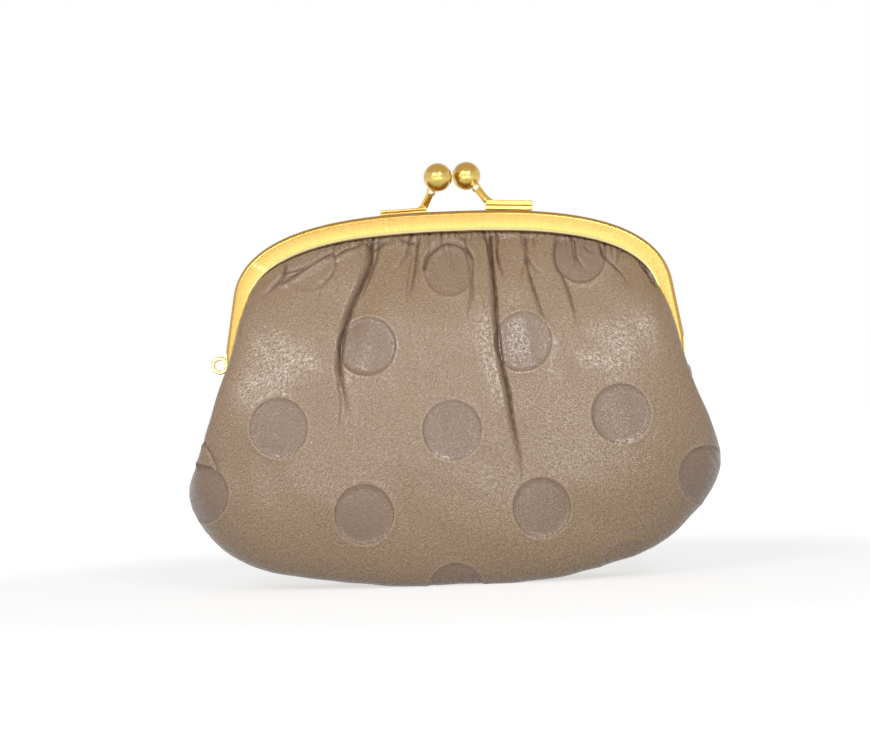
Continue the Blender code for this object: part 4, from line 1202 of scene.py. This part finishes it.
class Nodes:
    """Adds nodes to one tree and links them in the order in which they are written."""

    def __init__(self, tree):
        self.tree = tree

    def add(self, kind, inputs=None, **settings):
        """A node with its settings, and its inputs given as values or as other nodes' outputs."""
        node = self.tree.nodes.new(kind)
        for name, value in settings.items():
            setattr(node, name, value)
        for key, value in (inputs or {}).items():
            self.feed(node.inputs[key], value)
        return node

    def feed(self, socket, value):
        """Links an output to a socket, or sets the socket's value."""
        if isinstance(value, bpy.types.NodeSocket):
            self.tree.links.new(value, socket)
        else:
            socket.default_value = value

    def math(self, operation, first, second=0.0, clamp=False):
        """The result of a Math node."""
        inputs = {0: first, 1: second}
        return self.add("ShaderNodeMath", inputs, operation=operation, use_clamp=clamp).outputs[0]

    def times(self, first, second, clamp=False):
        """The product of two values."""
        return self.math("MULTIPLY", first, second, clamp)

    def plus(self, first, second, clamp=False):
        """The sum of two values."""
        return self.math("ADD", first, second, clamp)

    def minus(self, first, second):
        """The difference of two values."""
        return self.math("SUBTRACT", first, second)

    def vector(self, operation, first, second):
        """The result of a Vector Math node on two vectors."""
        return self.add("ShaderNodeVectorMath", {0: first, 1: second}, operation=operation).outputs[0]

    def ramp(self, value, low, high, start=0.0, end=1.0):
        """A value moved from one range to another, smoothly and without going past its ends."""
        node = self.add("ShaderNodeMapRange", interpolation_type="SMOOTHSTEP")
        for key, number in enumerate((value, low, high, start, end)):
            self.feed(node.inputs[key], number)
        return node.outputs[0]

    def close_to(self, value, middle, reach):
        """1 where a value is at a middle, down to 0 where it is a reach away."""
        return self.ramp(self.math("ABSOLUTE", self.minus(value, middle)), reach, 0.0)

    def noise(self, place, scale, detail=2.0, roughness=0.5):
        """A noise value between 0 and 1."""
        inputs = {"Vector": place, "Scale": scale, "Detail": detail, "Roughness": roughness}
        return self.add("ShaderNodeTexNoise", inputs).outputs[0]

    def mix(self, factor, first, second):
        """The result of a colour mix."""
        node = self.add("ShaderNodeMix", data_type="RGBA")
        for key, value in ((0, factor), (6, first), (7, second)):
            self.feed(node.inputs[key], value)
        return node.outputs[2]

    def tinted(self, colour, mask, strength, tint):
        """A colour moved towards a tint where a mask is."""
        return self.mix(self.times(mask, strength), colour, tint)

    def lay(self):
        """The place on a piece's cut pattern."""
        return self.add("ShaderNodeUVMap", uv_map="lay").outputs[0]

    def noted(self, name):
        """A number that the mesh keeps at each point."""
        return self.add("ShaderNodeAttribute", attribute_name=name).outputs["Fac"]

    def placed(self, name, **values):
        """A placed node group's outputs. Its inputs are named as given, with spaces for underscores."""
        node = self.add("ShaderNodeGroup", node_tree=bpy.data.node_groups[name])
        for key, value in values.items():
            self.feed(node.inputs[key.replace("_", " ")], value)
        return node.outputs

    def blotches(self, place, per_unit, contrast):
        """The mask of soft uneven patches."""
        return self.placed("soft_blotches", Place=place, Patches_per_unit=per_unit, Contrast=contrast)[0]

    def relief(self, shader, strength, distance, height):
        """Gives a shader a bump of a height."""
        bump = self.add("ShaderNodeBump", {"Strength": strength, "Distance": distance, "Height": height})
        self.feed(shader.inputs["Normal"], bump.outputs[0])


def node_group(name, numbers, results):
    """A node group with a place and numbers as inputs: what adds its nodes, its start and its end."""
    group = bpy.data.node_groups.new(name, "ShaderNodeTree")
    group.interface.new_socket(name="Place", in_out="INPUT", socket_type="NodeSocketVector")
    for label, value in numbers.items():
        socket = group.interface.new_socket(name=label, in_out="INPUT", socket_type="NodeSocketFloat")
        socket.default_value = value
    for label in results:
        group.interface.new_socket(name=label, in_out="OUTPUT", socket_type="NodeSocketFloat")
    return Nodes(group), group.nodes.new("NodeGroupInput").outputs, group.nodes.new("NodeGroupOutput").inputs


def make_blotches_group():
    """Soft uneven patches, as dye, handling and polish leave them."""
    nodes, given, end = node_group("soft_blotches", {"Patches per unit": 60.0, "Contrast": 0.5}, ["Patches"])
    wide = nodes.noise(given["Place"], given["Patches per unit"], 3.0, 0.55)
    scaled = nodes.times(nodes.minus(wide, 0.5), given["Contrast"])
    nodes.feed(end["Patches"], nodes.plus(scaled, 0.5, clamp=True))


def make_grain_group():
    """Leather-like pebbles with fine pores between them."""
    numbers = {"Pebbles per unit": 180.0, "Pore depth": 0.5}
    nodes, given, end = node_group("pebble_grain", numbers, ["Height", "Pores"])
    scale = given["Pebbles per unit"]
    warp = nodes.add("ShaderNodeTexNoise", {"Vector": given["Place"], "Scale": nodes.times(scale, 0.6)})
    push = nodes.vector("SUBTRACT", warp.outputs["Color"], (0.5, 0.5, 0.5))
    push = nodes.add("ShaderNodeVectorMath", {0: push, "Scale": 0.012}, operation="SCALE").outputs[0]
    place = nodes.vector("ADD", given["Place"], push)
    cells = nodes.add("ShaderNodeTexVoronoi", {"Vector": place, "Scale": scale}, feature="DISTANCE_TO_EDGE")
    pebbles = nodes.ramp(cells.outputs["Distance"], 0.0, 0.35)
    fine = nodes.noise(given["Place"], nodes.times(scale, 2.7), 3.0, 0.6)
    pores = nodes.minus(1.0, nodes.ramp(fine, 0.62, 0.48))
    nodes.feed(end["Height"], nodes.minus(pebbles, nodes.times(pores, given["Pore depth"])))
    nodes.feed(end["Pores"], pores)


def make_brush_group():
    """Fine scratches that all run one way across the metal."""
    numbers = {"Streaks per unit": 900.0, "Length share": 0.03}
    nodes, given, end = node_group("brushed_streaks", numbers, ["Streaks", "Bands"])
    stretch = nodes.add("ShaderNodeCombineXYZ", {0: 1.0, 1: given["Length share"], 2: 1.0}).outputs[0]
    place = nodes.vector("MULTIPLY", given["Place"], stretch)
    nodes.feed(end["Streaks"], nodes.noise(place, given["Streaks per unit"], 2.0, 0.6))
    nodes.feed(end["Bands"], nodes.noise(place, nodes.times(given["Streaks per unit"], 0.13)))


def make_wear_group():
    """Edges rubbed bright and hollows left dull, from the bend of the surface."""
    nodes, given, end = node_group("edge_rub", {"Edge": 0.53, "Hollow": 0.47}, ["Rubbed", "Dull"])
    bend = nodes.add("ShaderNodeNewGeometry").outputs["Pointiness"]
    broken = nodes.noise(given["Place"], 60.0, 3.0, 0.6)
    felt = nodes.plus(bend, nodes.times(nodes.minus(broken, 0.5), 0.03))
    nodes.feed(end["Rubbed"], nodes.ramp(felt, given["Edge"], nodes.plus(given["Edge"], 0.05)))
    nodes.feed(end["Dull"], nodes.ramp(felt, given["Hollow"], nodes.minus(given["Hollow"], 0.05)))


# Materials

def new_material(name, view_colour):
    """A material with a Principled shader, and what adds nodes to it."""
    made = bpy.data.materials.new(name)
    made.use_nodes = True
    made.diffuse_color = (*view_colour, 1.0)
    return made, Nodes(made.node_tree), made.node_tree.nodes["Principled BSDF"]


def tone(red, green, blue):
    """A colour from 0 to 255 screen values, as linear light."""
    linear = []
    for value in (red, green, blue):
        share = value / 255
        linear.append(share / 12.92 if share <= 0.04045 else ((share + 0.055) / 1.055) ** 2.4)
    return (*linear, 1.0)


def leather_material():
    """Matt taupe leather: painted shade in its creases, greyer in its pressed dots with painted light and
    shade round their edges, polished in small spots.
    """
    made, nodes, shader = new_material("taupe_leather", (0.36, 0.25, 0.17))
    lay = nodes.lay()
    small = nodes.blotches(lay, 22.0, 1.3)
    mottle = nodes.blotches(lay, 110.0, 2.6)
    speckle = nodes.blotches(lay, 200.0, 4.0)
    grain = nodes.placed("pebble_grain", Place=lay, Pebbles_per_unit=135.0, Pore_depth=0.4)
    wear = nodes.placed("edge_rub", Place=lay, Edge=0.505, Hollow=0.495)
    colour = nodes.mix(nodes.blotches(lay, 5.0, 1.6), tone(151, 122, 90), tone(159, 131, 100))
    colour = nodes.tinted(colour, small, 0.4, tone(143, 115, 84))
    colour = nodes.tinted(colour, mottle, 0.7, tone(188, 160, 128))
    colour = nodes.tinted(colour, speckle, 0.55, tone(112, 86, 64))
    colour = nodes.tinted(colour, grain["Pores"], 0.6, tone(92, 68, 50))

    reach = nodes.noted("dot_reach")
    pressing = nodes.noted("dot_strength")
    dot = nodes.times(nodes.ramp(reach, DOT_RADIUS + 0.1, DOT_RADIUS - 0.3), pressing)
    colour = nodes.tinted(colour, dot, 0.7, tone(128, 103, 85))
    colour = nodes.tinted(colour, wear["Rubbed"], 0.25, tone(180, 155, 131))
    # Painted highlight along the dot's raised rim, and painted shade along its pressed step.
    rim = nodes.times(nodes.close_to(reach, DOT_RADIUS + 0.5, 0.3), pressing)
    colour = nodes.tinted(colour, rim, 0.25, tone(186, 160, 136))
    uneven = nodes.times(nodes.ramp(small, 0.3, 0.7, 0.45, 0.85), pressing)
    colour = nodes.tinted(colour, nodes.close_to(reach, DOT_RADIUS - 0.05, 0.24), uneven, tone(92, 64, 52))

    # Painted shade in the fine gather creases under the lip; the same lines are pressed in by the bump
    # below.
    strands = nodes.noise(nodes.vector("MULTIPLY", lay, (1.0, 0.13, 1.0)), 105.0)
    line = nodes.times(nodes.times(nodes.close_to(strands, 0.5, 0.035), nodes.noted("gathers")), 0.8)
    colour = nodes.mix(line, colour, tone(84, 58, 46))
    # Painted shade in the creases, pleats and seam and under the frame's lip, from the crease attribute.
    broken = nodes.ramp(nodes.noise(lay, 40.0, 3.0, 0.6), 0.35, 0.65, 0.6, 1.15)
    crease_shade_mask = nodes.times(nodes.noted("crease"), broken, clamp=True)
    colour = nodes.mix(crease_shade_mask, colour, tone(74, 48, 36))
    colour = nodes.mix(nodes.noted("flesh_side"), colour, tone(150, 124, 98))
    nodes.feed(shader.inputs["Base Color"], colour)

    rough = nodes.plus(0.27, nodes.times(small, 0.06))
    rough = nodes.plus(rough, nodes.times(grain["Pores"], 0.12))
    nodes.feed(shader.inputs["Roughness"], rough)
    shader.inputs["Specular IOR Level"].default_value = 0.6
    polished = nodes.times(nodes.blotches(lay, 120.0, 6.0), nodes.ramp(crease_shade_mask, 0.0, 0.5, 0.8, 0.0))
    nodes.feed(shader.inputs["Coat Weight"], polished)
    shader.inputs["Coat Roughness"].default_value = 0.27
    fine = nodes.plus(nodes.times(mottle, 0.6), nodes.times(speckle, -0.4))
    nodes.relief(shader, 1.0, 0.00004, nodes.minus(nodes.plus(grain["Height"], fine), line))
    return made


def gold_material(name, deep, bright, streaks, length_share, rough, anisotropy, coat, lip_highlight_share=0.0):
    """Lacquered gold-coloured metal, brushed one way, with rubbed edges, dull hollows and, where asked, a
    painted highlight along the lip.
    """
    made, nodes, shader = new_material(name, deep[:3])
    lay = nodes.lay()
    brush = nodes.placed("brushed_streaks", Place=lay, Streaks_per_unit=streaks, Length_share=length_share)
    wear = nodes.placed("edge_rub", Place=lay, Edge=0.52, Hollow=0.48)
    shade = nodes.times(nodes.plus(brush["Bands"], brush["Streaks"]), 0.5)
    colour = nodes.mix(nodes.ramp(shade, 0.3, 0.7), deep, bright)
    colour = nodes.tinted(colour, nodes.blotches(lay, 4.0, 1.0), 0.18, deep)
    colour = nodes.tinted(colour, wear["Rubbed"], 0.35, tone(255, 232, 168))
    colour = nodes.tinted(colour, wear["Dull"], 0.4, tone(160, 118, 50))
    # Painted highlight: a cream band along the frame's lip.
    if lip_highlight_share:
        across = nodes.add("ShaderNodeSeparateXYZ", {0: lay}).outputs[1]
        lip = nodes.ramp(across, LIP_REACH * LAY_UNITS * 1.1, LIP_REACH * LAY_UNITS * 0.6)
        colour = nodes.tinted(colour, lip, lip_highlight_share, tone(255, 246, 190))
    nodes.feed(shader.inputs["Base Color"], colour)
    shader.inputs["Metallic"].default_value = 1.0
    roughness = nodes.plus(rough, nodes.times(nodes.minus(brush["Streaks"], 0.5), 0.16))
    nodes.feed(shader.inputs["Roughness"], nodes.plus(roughness, nodes.times(wear["Dull"], 0.15)))
    shader.inputs["Anisotropic"].default_value = anisotropy
    shader.inputs["Coat Weight"].default_value = coat
    shader.inputs["Coat Roughness"].default_value = 0.22
    if anisotropy:
        tangent = nodes.add("ShaderNodeTangent", direction_type="UV_MAP", uv_map="lay")
        nodes.feed(shader.inputs["Tangent"], tangent.outputs[0])
    nodes.relief(shader, 0.3, 0.00002, brush["Streaks"])
    return made


def lock_material():
    """The lock's arms and plates: satin gold with pale solder round the necks."""
    made, nodes, shader = new_material("satin_lock_gold", (0.80, 0.58, 0.2))
    place = nodes.add("ShaderNodeTexCoord").outputs["Object"]
    solder = nodes.noted("solder")
    fine = nodes.noise(place, 5200.0, 3.0, 0.6)
    wear = nodes.placed("edge_rub", Place=place, Edge=0.53, Hollow=0.46)
    colour = nodes.mix(nodes.blotches(place, 420.0, 1.4), tone(224, 188, 96), tone(240, 208, 120))
    colour = nodes.tinted(colour, wear["Rubbed"], 0.4, tone(255, 234, 170))
    colour = nodes.tinted(colour, wear["Dull"], 0.55, tone(138, 98, 40))
    colour = nodes.tinted(colour, solder, 0.85, tone(236, 226, 190))
    nodes.feed(shader.inputs["Base Color"], colour)
    shader.inputs["Metallic"].default_value = 1.0
    rough = nodes.plus(0.24, nodes.times(fine, 0.12))
    nodes.feed(shader.inputs["Roughness"], nodes.plus(rough, nodes.times(solder, 0.1)))
    nodes.relief(shader, 0.25, 0.00003, fine)
    return made


def lining_material():
    """Plain woven cotton: over and under threads, a little slub and faint soft dust."""
    made, nodes, shader = new_material("woven_lining", (0.40, 0.33, 0.26))
    lay = nodes.lay()
    split = nodes.add("ShaderNodeSeparateXYZ", {0: lay})
    threads = []
    for axis in (0, 1):
        threads.append(nodes.math("SINE", nodes.times(split.outputs[axis], 2 * math.pi * 120)))
    weave = nodes.ramp(nodes.times(threads[0], threads[1]), -0.6, 0.6)
    slub = nodes.placed("brushed_streaks", Place=lay, Streaks_per_unit=150.0, Length_share=0.08)["Streaks"]
    colour = nodes.mix(weave, tone(142, 120, 96), tone(178, 156, 130))
    colour = nodes.tinted(colour, slub, 0.4, tone(190, 170, 146))
    colour = nodes.tinted(colour, nodes.blotches(lay, 6.0, 1.2), 0.25, tone(132, 110, 88))
    nodes.feed(shader.inputs["Base Color"], colour)
    shader.inputs["Sheen Weight"].default_value = 0.25
    shader.inputs["Specular IOR Level"].default_value = 0.2
    nodes.feed(shader.inputs["Roughness"], nodes.plus(0.82, nodes.times(slub, 0.12)))
    nodes.relief(shader, 0.6, 0.00012, nodes.plus(weave, nodes.times(slub, 0.5)))
    return made


def paper_material():
    """Twisted kraft paper: fine creases along the twist."""
    made, nodes, shader = new_material("kraft_paper", (0.55, 0.42, 0.28))
    lay = nodes.lay()
    crinkle = nodes.placed("brushed_streaks", Place=lay, Streaks_per_unit=320.0, Length_share=0.35)
    colour = nodes.mix(crinkle["Streaks"], tone(168, 136, 100), tone(204, 174, 134))
    colour = nodes.tinted(colour, nodes.blotches(lay, 9.0, 1.2), 0.3, tone(150, 118, 84))
    nodes.feed(shader.inputs["Base Color"], colour)
    nodes.feed(shader.inputs["Roughness"], nodes.plus(0.8, nodes.times(crinkle["Bands"], 0.15)))
    nodes.relief(shader, 0.6, 0.0001, crinkle["Streaks"])
    return made


make_blotches_group()
make_grain_group()
make_brush_group()
make_wear_group()

LEATHER_LOOK = leather_material()
LINING_LOOK = lining_material()
PAPER_LOOK = paper_material()
LOCK_LOOK = lock_material()
FRAME_LOOK = gold_material(
    "brushed_frame_gold", tone(183, 148, 76), tone(194, 161, 90), streaks=950.0, length_share=0.03,
    rough=0.30, anisotropy=0.35, coat=0.3, lip_highlight_share=0.8,
)
BALL_LOOK = gold_material(
    "turned_ball_gold", tone(202, 170, 88), tone(220, 192, 110), streaks=700.0, length_share=0.06,
    rough=0.26, anisotropy=0.0, coat=0.3,
)
RIVET_LOOK = gold_material(
    "polished_rivet_gold", tone(240, 214, 140), tone(250, 230, 168), streaks=600.0, length_share=0.5,
    rough=0.22, anisotropy=0.0, coat=0.2,
)


# Assembly

def finished(obj, look, node):
    """Gives a piece its look and hides the CAD node that it stands for."""
    obj.data.materials.clear()
    obj.data.materials.append(look)
    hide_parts(node)
    return obj


PANELS = {
    "front": (PANEL_COLUMNS, PANEL_DRAPE_ROWS, FRONT_FOLDS, FRONT_DOTS, 11),
    "rear": (REAR_COLUMNS, REAR_DRAPE_ROWS, REAR_FOLDS, REAR_DOTS, 47),
}
PLATES = {
    "front": (FRONT_PLATE_START, FRONT_PLATE_THICKNESS, FRONT_FOOT_THICKNESS),
    "rear": (REAR_PLATE_START, REAR_PLATE_THICKNESS, REAR_FOOT_THICKNESS),
}
for half, side, x_sign in (("front", -1, 1), ("rear", 1, -1)):
    body = half + "_half"
    metal = frame_half(half + "_channel", side)
    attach(finished(metal, FRAME_LOOK, half + "_frame"), body)
    plate, arm, ball = lock_piece(half, side, x_sign, *PLATES[half])
    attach(finished(plate, LOCK_LOOK, half + "_knob_plate"), body)
    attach(finished(arm, LOCK_LOOK, half + "_knob_arm"), body)
    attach(finished(ball, BALL_LOOK, half + "_knob_ball"), body)
    cord = paper_cord(half + "_paper_cord", side)
    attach(finished(cord, PAPER_LOOK, half + "_frame_cord"), body)
    columns, drape_rows, folds, dots, seed = PANELS[half]
    leather, shares = leather_panel(half + "_leather", side, columns, drape_rows, folds, dots, seed)
    hang_between(finished(leather, LEATHER_LOOK, half + "_leather_panel"), shares)
    cloth, shares = lining_panel(half + "_cloth", side, folds, seed)
    hang_between(finished(cloth, LINING_LOOK, half + "_lining"), shares)

rivet = plain_rivet("right_rivet")
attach(finished(rivet, RIVET_LOOK, "right_hinge_rivet"), "rear_half")
eye = eye_rivet("left_rivet_with_eye")
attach(finished(eye, RIVET_LOOK, "left_hinge_eye_rivet"), "strap_eye")


# Studio

VIEW_WIDTH = 0.2245
VIEW_CENTRE = Vector((-0.0054, -0.0055, 0.0564))
VIEW_ROLL = math.radians(2.2)
CAMERA_DISTANCE = 0.80
SENSOR_WIDTH = 36.0
STUDIO_SIZE = 4.0
LAMP_AIM = Vector((0.0, 0.0, 0.05))
FLOOR_SHADOW_REACH = 0.30
CARD_COLOUR = (0.70, 0.58, 0.46)
WHITE = (1.0, 1.0, 1.0, 1.0)
SOFT_LIGHT = 0.32


def make_camera():
    """The photograph's view: level, straight on and rolled a little."""
    data = bpy.data.cameras.new("camera")
    data.sensor_width = SENSOR_WIDTH
    data.lens = SENSOR_WIDTH * CAMERA_DISTANCE / VIEW_WIDTH
    data.clip_start = 0.01
    data.clip_end = 20.0
    camera = shown("camera", data)
    right = Vector((math.cos(VIEW_ROLL), 0.0, -math.sin(VIEW_ROLL)))
    up = Vector((math.sin(VIEW_ROLL), 0.0, math.cos(VIEW_ROLL)))
    back = Vector((0.0, -1.0, 0.0))
    turn = Matrix((right, up, back)).transposed().to_4x4()
    camera.matrix_world = Matrix.Translation(VIEW_CENTRE + back * CAMERA_DISTANCE) @ turn
    bpy.context.scene.camera = camera


def softbox(name, place, size, power):
    """A rectangular lamp that faces the purse."""
    data = bpy.data.lights.new(name, "AREA")
    data.shape = "RECTANGLE"
    data.size, data.size_y = size
    data.energy = power
    lamp = shown(name, data)
    lamp.location = place
    lamp.visible_camera = False
    lamp.rotation_euler = (LAMP_AIM - Vector(place)).to_track_quat("-Z", "Y").to_euler()


def in_sight(nodes):
    """1 for what the camera or a reflection sees, and 0 for the light that falls on things."""
    path = nodes.add("ShaderNodeLightPath")
    seen = nodes.plus(path.outputs["Is Camera Ray"], path.outputs["Is Glossy Ray"], clamp=True)
    return nodes.plus(seen, path.outputs["Is Transmission Ray"], clamp=True)


def make_world():
    """White wherever the camera or a reflection sees it, and a plain soft light elsewhere."""
    world = bpy.data.worlds.new("studio")
    world.use_nodes = True
    bpy.context.scene.world = world
    nodes = Nodes(world.node_tree)
    shader = world.node_tree.nodes["Background"]
    shader.inputs["Color"].default_value = WHITE
    nodes.feed(shader.inputs["Strength"], nodes.ramp(in_sight(nodes), 0.0, 1.0, SOFT_LIGHT, 1.0))


def flat_sheet(name, across, deep):
    """A flat rectangle about its own middle."""
    corners = [(-across, -deep), (across, -deep), (across, deep), (-across, deep)]
    return piece_from(name, [(x / 2, y / 2, 0.0) for x, y in corners], [(0, 1, 2, 3)])


def make_floor():
    """A pale floor that reads as white further out and keeps the purse's shadow near it."""
    floor = flat_sheet("floor", STUDIO_SIZE, STUDIO_SIZE)
    made, nodes, shader = new_material("pale_floor", (0.86, 0.86, 0.86))
    place = nodes.add("ShaderNodeTexCoord").outputs["Object"]
    speck = nodes.noise(place, 40.0, 3.0, 0.6)
    pale = nodes.mix(speck, (0.46, 0.46, 0.46, 1.0), (0.48, 0.48, 0.48, 1.0))
    nodes.feed(shader.inputs["Base Color"], pale)
    shader.inputs["Roughness"].default_value = 0.9
    shader.inputs["Specular IOR Level"].default_value = 0.1
    away = nodes.add("ShaderNodeVectorMath", {0: place}, operation="LENGTH").outputs["Value"]
    white = nodes.ramp(away, FLOOR_SHADOW_REACH * 0.4, FLOOR_SHADOW_REACH, 0.66, 1.0)
    shader.inputs["Emission Color"].default_value = WHITE
    nodes.feed(shader.inputs["Emission Strength"], nodes.times(in_sight(nodes), white))
    floor.data.materials.append(made)


def make_card(name, place, size, tilt):
    """A plain tan card, seen only in reflections, as the dim upper part of the room."""
    card = flat_sheet(name, *size)
    card.location = place
    card.rotation_euler = (math.radians(tilt), 0.0, 0.0)
    made, nodes, shader = new_material(name, CARD_COLOUR)
    grain = nodes.noise(nodes.add("ShaderNodeTexCoord").outputs["Object"], 3.0)
    shader.inputs["Base Color"].default_value = (0.0, 0.0, 0.0, 1.0)
    shader.inputs["Emission Color"].default_value = (*CARD_COLOUR, 1.0)
    nodes.feed(shader.inputs["Emission Strength"], nodes.ramp(grain, 0.2, 0.8, 0.95, 1.05))
    card.data.materials.append(made)
    card.visible_camera = False
    card.visible_diffuse = False
    card.visible_transmission = False
    card.visible_shadow = False


make_camera()
make_world()
make_floor()
make_card("overhead_card", (0.0, -0.4, 1.25), (4.0, 3.6), 0.0)
make_card("front_card", (0.0, -2.2, 0.88), (4.0, 0.74), 90.0)
softbox("left_softbox", (-0.47, -1.07, 0.60), (0.34, 0.17), 4.2)
softbox("right_softbox", (0.37, -1.11, 0.60), (0.34, 0.17), 4.2)
softbox("left_strip", (-0.80, -0.85, 0.30), (0.07, 0.9), 1.1)
softbox("right_strip", (0.16, -1.14, 0.30), (0.07, 0.9), 1.1)
softbox("front_bounce", (0.0, -0.46, 0.012), (0.55, 0.07), 0.5)

bpy.context.scene.view_settings.view_transform = "Standard"
